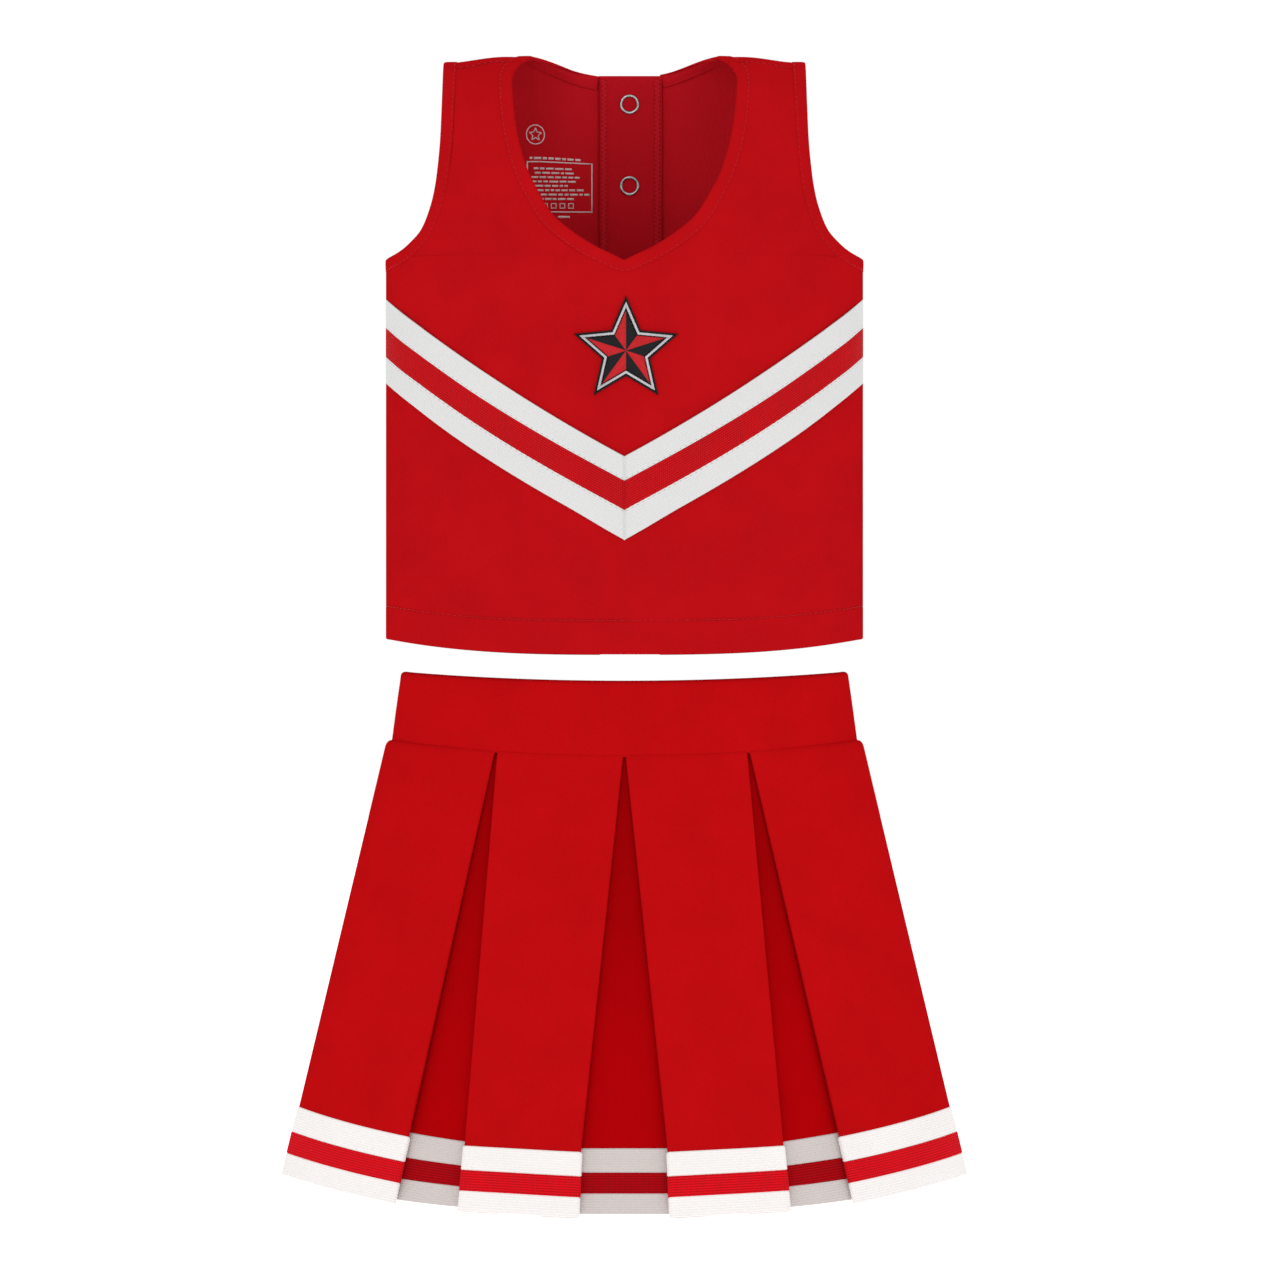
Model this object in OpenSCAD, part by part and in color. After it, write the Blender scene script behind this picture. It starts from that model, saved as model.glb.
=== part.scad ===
// Two-piece cheer uniform: sleeveless V-neck shell top and box-pleated skirt,
// shaped as worn, front facing -Y, +Z up, millimetres.
// Origin: middle of the line on which the shoulder straps rest.

/* [Top] */
// Half width of the body of the top
top_half_w = 119; // [114:1:124]
// Front depth of the top at the chest
chest_front = 56; // [52:1:60]
// Front depth of the top at its hem
hem_front = 54; // [53:1:58]
// Level of the underarm, below the shoulders
chest_z = -100; // [-104:1:-96]
// Level of the hem at the side seams
hem_z = -289; // [-291:1:-285]
// How much lower the hem is at the centre
hem_dip = 8; // [0:1:8]
// Thickness of the body knit
knit_t = 1.2; // [1:0.1:1.4]

/* [Back opening] */
// Width of the snap placket
placket_w = 30; // [28:1:32]
// Number of ring snaps down the back
snap_count = 7; // [3:1:7]
// Distance between ring snaps
snap_pitch = 41; // [38:0.5:41]
// Outside diameter of a ring snap
ring_d = 10; // [9:0.5:11]

/* [Trim] */
// Width of each stripe of the chevron tape, measured upright
stripe = 14; // [12:0.5:14]
// Width of the tri-colour tape round the skirt hem
hem_tape = 32.5; // [28:0.5:34]
// Thickness of the knitted tape
tape_t = 0.8; // [0.6:0.1:0.9]

/* [Skirt] */
// Half width of the waist at the pleat seam
waist_half_w = 118; // [116:1:119]
// Half depth of the waist at the pleat seam
waist_half_d = 49; // [47:1:50]
// Height of the waistband
band_h = 34; // [30:1:36]
// Thickness of the pleat cloth
cloth_t = 1; // [0.8:0.1:1.1]

/* [Hidden] */

red = [0.73, 0.06, 0.08];
dark_red = [0.62, 0.02, 0.04];
white = [0.93, 0.92, 0.91];
black = [0.06, 0.06, 0.07];
steel = [0.75, 0.76, 0.78];

strap_top = 1.5;   // the straps' highest level
back_arch_z = -60; // where the back starts to bend over the shoulder
back_neck_y = 40;  // how far behind the shoulder line the back neck lies
back_neck_z = -6;
back_lean = 0.052; // the back's slope, so that its middle is one flat strip
plump = 2.2;       // 2 is an ellipse; more is a fuller section

// armhole edge: level, distance from the middle
armhole = [[-100, 119], [-98.5, 115], [-96.5, 111], [-92.5, 106], [-87, 101], [-78, 97], [-70, 94.7], [-60, 93], [-40, 91.2], [-22, 90.6], [4, 90]];
// front neckline: level, distance from the middle
neckline = [[-103, 0], [-97, 13], [-89, 26], [-81, 35.5], [-71, 42], [-58, 48.5], [-40, 53.5], [-30, 55], [-16, 56.3], [-7, 54.5], [-3, 51.5], [4, 49]];

function unit(v) = v / norm(v);
function smooth(a, b, x) = let (t = max(0, min(1, (x - a) / (b - a)))) t * t * (3 - 2 * t);
function sgnpow(v, e) = sign(v) * pow(abs(v), e);
function flat(g) = [for (r = g) for (p = r) p];
function th_of(x) = asin(sgnpow(max(-1, min(1, x / top_half_w)), plump / 2));
function hem_at(x) = hem_z - hem_dip * (1 - pow(min(1, abs(x) / top_half_w), 3));
function strap_z(x) = strap_top - 3 * smooth(58, 90, abs(x));

// A point of the front at angle th round the body and row r: -1 is the hem, 0 the chest, 1 the shoulder. d is the depth under the surface.
function front_pt(th, r, d = 0) =
  let (x = (top_half_w - d) * sgnpow(sin(th), 2 / plump),
       b = (r < 0 ? chest_front + (hem_front - chest_front) * -r : chest_front) - d,
       c = pow(cos(th), 2 / plump))
  r < 0 ? [x, -b * c, chest_z + (hem_at(x) - chest_z) * -r]
        : [x, -b * c * cos(90 * r), chest_z + (strap_z(x) - chest_z - d) * sin(90 * r)];

function back_depth(z) = back_neck_y + (back_neck_z - z) * back_lean;
function back_pt(th, r, d = 0) =
  let (x = (top_half_w - d) * sgnpow(sin(th), 2 / plump),
       c = pow(cos(th), 2 / plump),
       m = smooth(16, 52, abs(x)),
       f = sqrt(1 - m * m),
       top = (1 - m) * back_neck_z + m * (strap_z(x) - d),
       z = r < 0 ? back_arch_z + (hem_at(x) - back_arch_z) * -r : back_arch_z + (top - back_arch_z) * sin(90 * r))
  [x, (back_depth(z) - d) * c * (r < 0 ? 1 : f + (1 - f) * cos(90 * r)), z];

function front_z(r) = r < 0 ? chest_z + (hem_z - chest_z) * -r : chest_z + (strap_z(90) - chest_z) * sin(90 * r);
function back_z(r) = r < 0 ? back_arch_z + (hem_z - back_arch_z) * -r : back_arch_z + (strap_z(90) - back_arch_z) * sin(90 * r);
function x_out(z) = z <= chest_z ? top_half_w : lookup(z, armhole);
function x_in(z) = z <= front_z(v_row) ? 0 : lookup(z, neckline);

v_row = -0.016; // the row on which the V point lies
front_rows = [-1, -0.86, -0.72, -0.58, -0.44, -0.3, -0.2, -0.1, -0.016, 0, 0.03, 0.06, 0.1, 0.15, 0.2, 0.28, 0.38, 0.5, 0.62, 0.74, 0.85, 0.93, 1];
back_rows = [-1, -0.85, -0.7, -0.55, -0.42, -0.3, -0.23, -0.175, -0.16, -0.14, -0.12, -0.08, -0.04, 0, 0.15, 0.3, 0.45, 0.6, 0.75, 0.88, 1];

// ---- closed sheets from an outer and an inner grid of points ----
function quads(o, nr, nc, flip) = [for (j = [0:nr - 2]) for (i = [0:nc - 2])
  let (a = o + j * nc + i, b = a + 1, c = a + nc + 1, e = a + nc) each flip ? [[a, c, b], [a, e, c]] : [[a, b, c], [a, c, e]]];
function strip(p, q, flip) = [for (i = [0:len(p) - 2])
  each flip ? [[p[i], p[i + 1], q[i + 1]], [p[i], q[i + 1], q[i]]] : [[p[i], q[i + 1], p[i + 1]], [p[i], q[i], q[i + 1]]]];
function row_ix(o, nc, j) = [for (i = [0:nc - 1]) o + j * nc + i];
function col_ix(o, nc, i, j0, j1) = [for (j = [j0:j1]) o + j * nc + i];

// g is the surface's grid and h the grid under it
module sheet(g, h, flip = false) {
  nr = len(g); nc = len(g[0]); o = nr * nc;
  polyhedron(points = concat(flat(g), flat(h)), faces = concat(
    quads(0, nr, nc, flip), quads(o, nr, nc, !flip),
    strip(row_ix(0, nc, 0), row_ix(o, nc, 0), flip),
    strip(row_ix(0, nc, nr - 1), row_ix(o, nc, nr - 1), !flip),
    strip(col_ix(0, nc, 0, 0, nr - 1), col_ix(o, nc, 0, 0, nr - 1), !flip),
    strip(col_ix(0, nc, nc - 1, 0, nr - 1), col_ix(o, nc, nc - 1, 0, nr - 1), flip)), convexity = 8);
}

// ---- the top ----
front_cols = 9;
function front_half(d, s) = [for (r = front_rows) let (z = front_z(r), a = th_of(x_in(z)), b = th_of(x_out(z)))
  [for (i = [0:front_cols]) front_pt(s * (a + (b - a) * i / front_cols), r, d)]];

// both halves in one solid, joined up the middle below the V
module front_panel() color(red) {
  nr = len(front_rows); nc = front_cols + 1; n = nr * nc;
  jt = search(v_row, front_rows)[0];
  polyhedron(points = concat(flat(front_half(0, 1)), flat(front_half(knit_t, 1)), flat(front_half(0, -1)), flat(front_half(knit_t, -1))),
    faces = concat(
      quads(0, nr, nc, true), quads(n, nr, nc, false), quads(2 * n, nr, nc, false), quads(3 * n, nr, nc, true),
      [for (s = [0, 1]) let (o = 2 * n * s, f = s == 0) each concat(
        strip(row_ix(o, nc, 0), row_ix(o + n, nc, 0), f),
        strip(row_ix(o, nc, nr - 1), row_ix(o + n, nc, nr - 1), !f),
        strip(col_ix(o, nc, nc - 1, 0, nr - 1), col_ix(o + n, nc, nc - 1, 0, nr - 1), f),
        strip(col_ix(o, nc, 0, jt, nr - 1), col_ix(o + n, nc, 0, jt, nr - 1), !f))]), convexity = 8);
}

module back_half(s, x0) {
  function g(d) = [for (r = back_rows) let (z = back_z(r), a = th_of(x0), b = th_of(x_out(z)))
    [for (i = [0:10]) back_pt(s * (a + (b - a) * i / 10), r, d)]];
  sheet(g(0), g(knit_t), s < 0);
}
half_p = placket_w / 2;
placket_x = 3; // the placket's middle
module back_panel_left() color(red) back_half(1, placket_x + half_p + 0.6);
module back_panel_right() color(red) back_half(-1, half_p - placket_x + 1.3);

face_w = 7; // width of the neck and armhole facings
fg = 0.35;  // air between a panel and what lies under it
module front_edge(s, e0, e1, rows, t) {
  // a strip on the inside of the front, from e0 to e1 (functions of the level give its two edges)
  function g(d) = [for (r = rows) let (z = front_z(r), a = th_of(e0 == "neck" ? x_in(z) : x_out(z) - 0.3), b = th_of(e0 == "neck" ? min(x_in(z) + e1, x_out(z) - 8) : x_out(z) - e1))
    [for (i = [0:2]) front_pt(s * (a + (b - a) * i / 2), r, d)]];
  flip = (s > 0) == (e0 == "neck");
  sheet(g(knit_t + fg), g(knit_t + fg + t), flip);
}
neck_rows = [0, 0.03, 0.06, 0.1, 0.15, 0.2, 0.28, 0.38, 0.5, 0.62, 0.74, 0.85, 0.93, 0.98];
module neck_facing_front() color(red) for (s = [-1, 1]) front_edge(s, "neck", face_w, neck_rows, 0.8);

module neck_facing_back_half(s) {
  x0 = s > 0 ? placket_x + half_p + 5 : half_p - placket_x + 1.6;
  rows = [0.80, 0.88, 0.99];
  function g(d) = [for (r = rows) [for (i = [0:6]) back_pt(s * (th_of(x0) + (th_of(53) - th_of(x0)) * i / 6), r, d)]];
  sheet(g(knit_t + fg), g(knit_t + fg + 0.8), s < 0);
}
module neck_facing_back() color(red) { neck_facing_back_half(1); neck_facing_back_half(-1); }

arm_rows = [0.1, 0.15, 0.2, 0.28, 0.38, 0.5, 0.62, 0.74, 0.85, 0.93, 0.98];
arm_back_rows = [-0.14, -0.12, -0.08, -0.04, 0, 0.15, 0.3, 0.45, 0.6, 0.75, 0.88, 0.96];
module armhole_facing(s) {
  front_edge(s, "arm", face_w, arm_rows, 0.8);
  function g(d) = [for (r = arm_back_rows) let (x = x_out(back_z(r)))
    [for (i = [0:2]) back_pt(s * th_of(x - 0.3 - (face_w - 0.3) * i / 2), r, d)]];
  sheet(g(knit_t + fg), g(knit_t + fg + 0.8), s > 0);
}
module armhole_facings() color(red) { armhole_facing(1); armhole_facing(-1); }

// the turned-up hem, inside
hem_h = 16.5;
module hem_fold_front() {
  rows = [0.995, 0.95, 1 - hem_h / (chest_z - hem_z)];
  function f(d) = [for (r = rows) [for (i = [-8:8]) front_pt(88.5 * i / 8, -r, d)]];
  sheet(f(knit_t + fg), f(knit_t + fg + 0.8), true);
}
module hem_fold_back(s) {
  x0 = s > 0 ? placket_x + half_p + 5 : half_p - placket_x + 1.6;
  rb = [0.995, 0.96, 1 - hem_h / (back_arch_z - hem_z)];
  function b(d) = [for (r = rb) [for (i = [0:8]) back_pt(s * (th_of(x0) + (88.5 - th_of(x0)) * i / 8), -r, d)]];
  sheet(b(knit_t + fg), b(knit_t + fg + 0.8), s < 0);
}
module hem_fold() color(red) { hem_fold_front(); hem_fold_back(1); hem_fold_back(-1); }

module shoulder_tape(s) {
  xs = [64, 70, 76, 82];
  function f(d) = [for (x = xs) concat([for (r = [0.9, 0.95, 0.985]) front_pt(s * th_of(x), r, d)],
    [for (r = [0.985, 0.94, 0.88]) back_pt(s * th_of(x), r, d)])];
  sheet(f(knit_t + fg), f(knit_t + fg + 0.7), s < 0);
}
module shoulder_tapes() color(red) { shoulder_tape(1); shoulder_tape(-1); }

// overlocked seam allowances standing inside the side seams
module side_seams() color(red) for (s = [-1, 1])
  translate([s * (top_half_w - knit_t - 2.6) - 2.5, -0.6, hem_z + hem_h + 10.5]) cube([5, 1.2, 158]);

// ---- chevron: stripes lie on the front; k counts from the top stripe ----
tape_over = 0.2;
function chev(x, k) = -198.5 + 0.54 * abs(x) + 0.00096 * x * x - stripe * k + (k > 0 ? 1.5 : 0);
module chevron_stripe(s, k) {
  n = 14;
  function g(d) = [for (j = [0:1]) [for (i = [0:n]) let (th = s * (0.2 + 87 * i / n), x = front_pt(th, -0.3, 0)[0],
      z = chev(x, k + j), r = -(z - chest_z) / (hem_at(x) - chest_z))
    front_pt(th, r, -d)]];
  sheet(g(tape_over + tape_t), g(tape_over), s < 0);
}
module chevron_white_left() color(white) { chevron_stripe(1, 0); chevron_stripe(1, 2); }
module chevron_white_right() color(white) { chevron_stripe(-1, 0); chevron_stripe(-1, 2); }
module chevron_red_left() color(red) chevron_stripe(1, 1);
module chevron_red_right() color(red) chevron_stripe(-1, 1);

// ---- plain five-point star emblem ----
emblem_z = -148;
emblem_y = -chest_front;
module star(r) polygon([for (i = [0:9]) let (q = i % 2 == 0 ? r : r * 0.45) [q * sin(36 * i), q * cos(36 * i)]]);
module emblem_backing() color(black) difference() {
  translate([0, emblem_y + 3, emblem_z]) rotate([90, 0, 0]) linear_extrude(3.6) star(27);
  body_core(0);
}
module emblem_border() color(white) translate([0, emblem_y - 0.6, emblem_z]) rotate([90, 0, 0]) linear_extrude(0.4) difference() { star(24); star(19); }
module emblem_fill() color(red) translate([0, emblem_y - 0.6, emblem_z]) rotate([90, 0, 0]) linear_extrude(0.5) star(18.9);
module body_core(d) {
  // the space inside the front's surface round the emblem
  function g(k) = [for (r = [-0.5, -0.4, -0.3, -0.2, -0.1, 0]) [for (i = [-8:8]) k * [0, 60, 0] + front_pt(4 * i, r, -0.02)]];
  sheet(g(0), g(1), true);
}

// printed care panel inside the back, on the wearer's right: frame, lines and plain marks
function back_r(z) = z < back_arch_z ? -(back_arch_z - z) / (back_arch_z - hem_z) : asin((z - back_arch_z) / (strap_z(90) - back_arch_z)) / 90;
module ink(xa, xb, z0, z1) {
  function g(d) = [for (z = [z0, z1]) [for (i = [0:3]) back_pt(-th_of(xa + (xb - xa) * i / 3), back_r(z), d)]];
  sheet(g(knit_t + 0.3), g(knit_t + 0.45), true);
}
module care_label() color(white) {
  ink(17, 49, -52, -51.3);
  ink(17, 49, -76, -75.3);
  ink(17, 17.7, -75.2, -52.1);
  ink(48.3, 49, -75.2, -52.1);
  for (i = [0:5]) ink([20, 23, 19, 24, 21, 26][i], 46, -55.4 - i * 2.7, -54.4 - i * 2.7);
  for (i = [0:3]) ink(24 + i * 4.6, 27 + i * 4.6, -73.6, -71.2);
  ink(41.5, 47.5, -41, -35);
}

// ---- back opening ----
module back_frame() translate([0, back_neck_y, back_neck_z]) rotate([atan(back_lean), 0, 0]) children();
back_len = 290.5;
snap_z0 = -13;
snap_x = 2.5;
module at_snaps() for (k = [0:snap_count - 1]) back_frame() translate([snap_x, 0, snap_z0 - snap_pitch * k]) rotate([-90, 0, 0]) children();
lap_out = -1.9;  // outer face of the underlap
lap_in = -3.5;
flap_in = -0.9;
flap_out = 1.1;
module placket_underlap() color(dark_red) difference() {
  back_frame() translate([placket_x - half_p, lap_in, -back_len]) cube([placket_w + 4, lap_out - lap_in, back_len]);
  at_snaps() translate([0, 0, -5]) cylinder(r = 1.5, h = 10, $fn = 32);
}
module snap_studs() color(steel) at_snaps() {
  translate([0, 0, lap_in - 0.2]) cylinder(r = 1.4, h = lap_out - lap_in + 0.4, $fn = 32);
  translate([0, 0, lap_out]) cylinder(r = 4.2, h = 0.3, $fn = 32);
  translate([0, 0, lap_out + 0.2]) cylinder(r = 1.7, h = 1.6, $fn = 32);
}
module ring(z, t) rotate_extrude($fn = 48) translate([0, z]) polygon([[ring_d / 2 - 1.4, 0], [ring_d / 2, 0], [ring_d / 2, t * 0.4], [ring_d / 2 - 0.35, t], [ring_d / 2 - 1.05, t], [ring_d / 2 - 1.4, t * 0.4]]);
module snap_rings_inner() color(steel) at_snaps() translate([0, 0, lap_in]) mirror([0, 0, 1]) ring(0, 0.9);

hinge_x = placket_x - half_p;
hinge_y = (flap_in + flap_out) / 2;
module placket_flap() color(red) difference() {
  union() {
    back_frame() translate([hinge_x, flap_in, -back_len]) cube([placket_w - 0.3, flap_out - flap_in, back_len]);
    back_frame() translate([hinge_x, hinge_y, -back_len]) cylinder(r = 1, h = back_len, $fn = 32);
  }
  at_snaps() translate([0, 0, flap_in - 1]) cylinder(r = 4.4, h = 2.1, $fn = 48);
  at_snaps() translate([0, 0, -5]) cylinder(r = 2.1, h = 12, $fn = 32);
}
module snap_sockets() color(steel) at_snaps() translate([0, 0, flap_in + 0.1]) difference() {
  cylinder(r = 4.3, h = 0.95, $fn = 48);
  translate([0, 0, -1]) cylinder(r = 1.95, h = 4, $fn = 32);
}
module snap_rings_outer() color(steel) at_snaps() translate([0, 0, flap_out]) ring(0, 0.9);

// ---- skirt ----
seam_side = -341;  // level of the pleat seam at the sides
seam_dip = 7;      // how much lower it is at the centre
function seam_z(x) = seam_side - seam_dip * (1 - pow(min(1, abs(x) / waist_half_w), 2));
function ell(a, b, t) = [a * cos(t), b * sin(t)];
// a ring of cloth between two ellipses; lo and hi are its lower and upper edges
module band_ring(a0, b0, a1, b1, t, zlo, zhi, n = 48) {
  function g(d) = [for (v = [0:1]) [for (i = [0:n]) let (q = 360 * i / n, a = a0 + (a1 - a0) * v - d, b = b0 + (b1 - b0) * v - d, p = ell(a, b, q))
    [p[0], p[1], v == 0 ? zlo + seam_z(p[0]) : zhi - 4 * (1 - pow(p[0] / a, 2))]]];
  nc = n; o = 2 * (n + 1);
  P = concat(flat(g(0)), flat(g(t)));
  m = n + 1;
  polyhedron(points = P, faces = concat(
    quads(0, 2, m, true), quads(o, 2, m, false),
    strip(row_ix(0, m, 0), row_ix(o, m, 0), true),
    strip(row_ix(0, m, 1), row_ix(o, m, 1), false)), convexity = 8);
}
band_top = -306;
module waistband() color(red) band_ring(116.2, 47.6, 111.8, 46.2, 1.2, 1.2, band_top);
module waist_elastic() color(white) band_ring(114.6, 46.1, 110.4, 44.8, 1.2, 4.2, band_top - 3);
module waistband_facing() color(red) band_ring(112.8, 44.3, 108.6, 43, 1.0, 1.6, band_top);

// pleat corners: u0 is the wearer-facing left end seen from the front. Angles on the waist ellipse, from the centre front.
hem_pts = [ // hem corners of the front faces, from the left side to the middle: x, y, z
  [-170.5, -22, -555], [-113, -70, -566], [-81.5, -82.5, -568.5], [-21.5, -93.5, -571]];
function waist_pt(c) = let (x = -waist_half_w * cos(c)) [x, -waist_half_d * sin(c), seam_z(x)];
apex = [-118, -63, 0]; // where the faces meet at the seam
function face_top(k, u) = let (c0 = acos(-apex[k] / waist_half_w), c1 = acos(-apex[k + 1] / waist_half_w), c = c0 + (c1 - c0) * u) waist_pt(c);
function face_bot(k, u) = let (p = hem_pts[2 * k], q = hem_pts[2 * k + 1], m = p + (q - p) * u, o = unit([(p + q)[0] * 0.35, (p + q)[1], 0])) m + o * (k == 0 ? 5 : 1.2) * 4 * u * (1 - u);
// a point of face k (0 the outer, 1 the inner), u across and v down, d under the surface
function face_raw(k, u, v) = face_top(k, u) * (1 - v) + face_bot(k, u) * v;
function face_n(k, u, v) = unit(cross(face_raw(k, u, v + 0.02) - face_raw(k, u, v - 0.02), face_raw(k, u + 0.02, v) - face_raw(k, u - 0.02, v)));
function face_pt(k, u, v, d) = face_raw(k, u, v) - face_n(k, u, v) * d;
face_gap = 0.010; // bare share of a face's width at each side seam corner
function fu(k, i, n) = (k == 0 ? 0.012 : 0.012) + (1 - 0.024) * i / n;
tape_v = 1 - hem_tape / 233;
module face_sheet(k, v0, v1, d0, d1, nv, nu = 6) {
  function g(d) = [for (j = [0:nv]) [for (i = [0:nu]) face_pt(k, fu(k, i, nu), v0 + (v1 - v0) * j / nv, d)]];
  sheet(g(d0), g(d1), false);
}
v_top = 0.006;
module one_face(k) face_sheet(k, v_top, 1, 0, cloth_t, 8);
module one_face_tape(k) face_sheet(k, tape_v, 1.001, -tape_t - 0.15, -0.15, 2);

// an inset lies behind two neighbouring faces: behind a, across the gap, behind b
inset_d = 3.3;
function mirx(p) = [-p[0], p[1], p[2]];
function miry(p) = [p[0], -p[1], p[2]];
// kind 0: between outer and inner face; 1: centre; 2: side
function in_a(kind, w, v, d) = kind == 0 ? face_pt(0, 1 - w / 72, v, d) : kind == 1 ? face_pt(1, 1 - w / 62, v, d) : miry(face_pt(0, w / 72, v, d));
function in_b(kind, w, v, d) = kind == 0 ? face_pt(1, w / 62, v, d) : kind == 1 ? mirx(face_pt(1, 1 - w / 62, v, d)) : face_pt(0, w / 72, v, d);
function bulge(kind) = kind == 0 ? [-0.35, -0.94, 0] * 2 : kind == 1 ? [0, -1, 0] * 1 : [-1, 0, 0] * 1.5;
function inset_row(kind, v, d) = let (h = kind == 2 ? 8 + 24 * v : 14 + 9 * v, c = kind == 2 ? 4.6 : 2,
    a1 = in_a(kind, c, v, d), b1 = in_b(kind, c, v, d), m = (a1 + b1) / 2 + bulge(kind) * v)
  [in_a(kind, h, v, d), in_a(kind, (h + c) / 2, v, d), a1, (a1 + m) / 2 + bulge(kind) * v * 0.25, m, (b1 + m) / 2 + bulge(kind) * v * 0.25, b1, in_b(kind, (h + c) / 2, v, d), in_b(kind, h, v, d)];
module inset_sheet(kind, v0, v1, d0, d1, nv) {
  function g(d) = [for (j = [0:nv]) inset_row(kind, v0 + (v1 - v0) * j / nv, d)];
  sheet(g(d0), g(d1), false);
}
module one_inset(kind) inset_sheet(kind, v_top + 0.004, 0.994, inset_d, inset_d + cloth_t, 8);
module one_inset_tape(kind) inset_sheet(kind, tape_v - 0.004, 0.995, inset_d - tape_t - 0.15, inset_d - 0.15, 2);
module mx() mirror([1, 0, 0]) children();
module my() mirror([0, 1, 0]) children();

front_panel();
back_panel_left();
back_panel_right();
neck_facing_front();
neck_facing_back();
armhole_facings();
hem_fold();
shoulder_tapes();
side_seams();
chevron_white_left();
chevron_red_left();
chevron_white_right();
chevron_red_right();
emblem_backing();
emblem_border();
emblem_fill();
care_label();
placket_underlap();
snap_studs();
snap_rings_inner();
placket_flap();
snap_sockets();
snap_rings_outer();
waistband();
waist_elastic();
waistband_facing();
color(red) one_face(0);  // pleat_face_front_1
color(red) one_face(1);  // pleat_face_front_2
color(red) mx() one_face(1);  // pleat_face_front_3
color(red) mx() one_face(0);  // pleat_face_front_4
color(red) my() one_face(0);  // pleat_face_back_1
color(red) my() one_face(1);  // pleat_face_back_2
color(red) mx() my() one_face(1);  // pleat_face_back_3
color(red) mx() my() one_face(0);  // pleat_face_back_4
color(white) one_face_tape(0);  // tape_face_front_1
color(white) one_face_tape(1);  // tape_face_front_2
color(white) mx() one_face_tape(1);  // tape_face_front_3
color(white) mx() one_face_tape(0);  // tape_face_front_4
color(white) my() one_face_tape(0);  // tape_face_back_1
color(white) my() one_face_tape(1);  // tape_face_back_2
color(white) mx() my() one_face_tape(1);  // tape_face_back_3
color(white) mx() my() one_face_tape(0);  // tape_face_back_4
color(dark_red) one_inset(0);  // pleat_inset_front_1
color(dark_red) one_inset(1);  // pleat_inset_front_2
color(dark_red) mx() one_inset(0);  // pleat_inset_front_3
color(dark_red) one_inset(2);  // pleat_inset_side_left
color(dark_red) mx() one_inset(2);  // pleat_inset_side_right
color(dark_red) my() one_inset(0);  // pleat_inset_back_1
color(dark_red) my() one_inset(1);  // pleat_inset_back_2
color(dark_red) mx() my() one_inset(0);  // pleat_inset_back_3
color(white) one_inset_tape(0);  // tape_inset_front_1
color(white) one_inset_tape(1);  // tape_inset_front_2
color(white) mx() one_inset_tape(0);  // tape_inset_front_3
color(white) one_inset_tape(2);  // tape_inset_side_left
color(white) mx() one_inset_tape(2);  // tape_inset_side_right
color(white) my() one_inset_tape(0);  // tape_inset_back_1
color(white) my() one_inset_tape(1);  // tape_inset_back_2
color(white) mx() my() one_inset_tape(0);  // tape_inset_back_3
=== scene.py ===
import bpy, math
import numpy as np
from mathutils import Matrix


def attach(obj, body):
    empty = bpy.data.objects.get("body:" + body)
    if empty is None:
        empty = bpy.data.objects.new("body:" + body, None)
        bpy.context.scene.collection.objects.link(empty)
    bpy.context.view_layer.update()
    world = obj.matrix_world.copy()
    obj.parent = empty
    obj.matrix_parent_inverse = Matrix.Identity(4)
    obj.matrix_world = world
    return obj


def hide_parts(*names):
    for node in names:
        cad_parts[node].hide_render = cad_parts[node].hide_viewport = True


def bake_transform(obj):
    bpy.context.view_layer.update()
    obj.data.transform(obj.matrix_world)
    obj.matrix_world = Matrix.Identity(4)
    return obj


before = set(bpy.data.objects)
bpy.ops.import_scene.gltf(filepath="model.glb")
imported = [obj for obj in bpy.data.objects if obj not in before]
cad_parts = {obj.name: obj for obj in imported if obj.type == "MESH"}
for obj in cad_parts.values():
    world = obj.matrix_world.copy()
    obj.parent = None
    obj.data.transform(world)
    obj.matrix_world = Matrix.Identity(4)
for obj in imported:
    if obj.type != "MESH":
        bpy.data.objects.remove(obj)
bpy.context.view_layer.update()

# ------------------------------------------------------------------ the garment's surfaces, in millimetres
W, CF, HF, CZ, HZ, DIP = 119.0, 56.0, 54.0, -100.0, -289.0, 8.0
STRAP, ARCH, BNY, BNZ, LEAN, PL = 1.5, -60.0, 40.0, -6.0, 0.052, 2.2
CAM = (4.0, -3500.0, -286.25)
KNIT = 1.2


def spow(v, e):
    return np.sign(v) * np.abs(v) ** e


def smooth(a, b, x):
    t = np.clip((x - a) / (b - a), 0, 1)
    return t * t * (3 - 2 * t)


def sind(a):
    return np.sin(np.radians(a))


def cosd(a):
    return np.cos(np.radians(a))


def pchip(xs, ys):
    xs, ys = np.array(xs, float), np.array(ys, float)
    h, m = np.diff(xs), np.diff(ys) / np.diff(xs)
    d = np.zeros(len(xs))
    for i in range(1, len(xs) - 1):
        if m[i - 1] * m[i] > 0:
            a, b = 2 * h[i] + h[i - 1], h[i] + 2 * h[i - 1]
            d[i] = (a + b) / (a / m[i - 1] + b / m[i])
    d[0], d[-1] = m[0], m[-1]

    def f(x):
        x = np.clip(x, xs[0], xs[-1])
        i = np.clip(np.searchsorted(xs, x) - 1, 0, len(xs) - 2)
        t = (x - xs[i]) / h[i]
        return (ys[i] * (1 + 2 * t) * (1 - t) ** 2 + h[i] * d[i] * t * (1 - t) ** 2
                + ys[i + 1] * t * t * (3 - 2 * t) + h[i] * d[i + 1] * t * t * (t - 1))
    return f


ARM = pchip([-100, -98.8, -96.5, -92.5, -87, -78, -70, -60, -40, -22, 4],
            [119, 115.6, 111, 106, 101, 97, 94.7, 93, 91.2, 90.6, 90])
NECK = pchip([-103, -100.2, -97, -89, -81, -71, -58, -40, -30, -13.3, -8.0, -5.0, -1.5],
             [0, 6, 13, 26, 35.5, 42, 48.5, 53.5, 55, 56.2, 54.3, 51.8, 46.0])
V_ROW = -0.016


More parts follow.
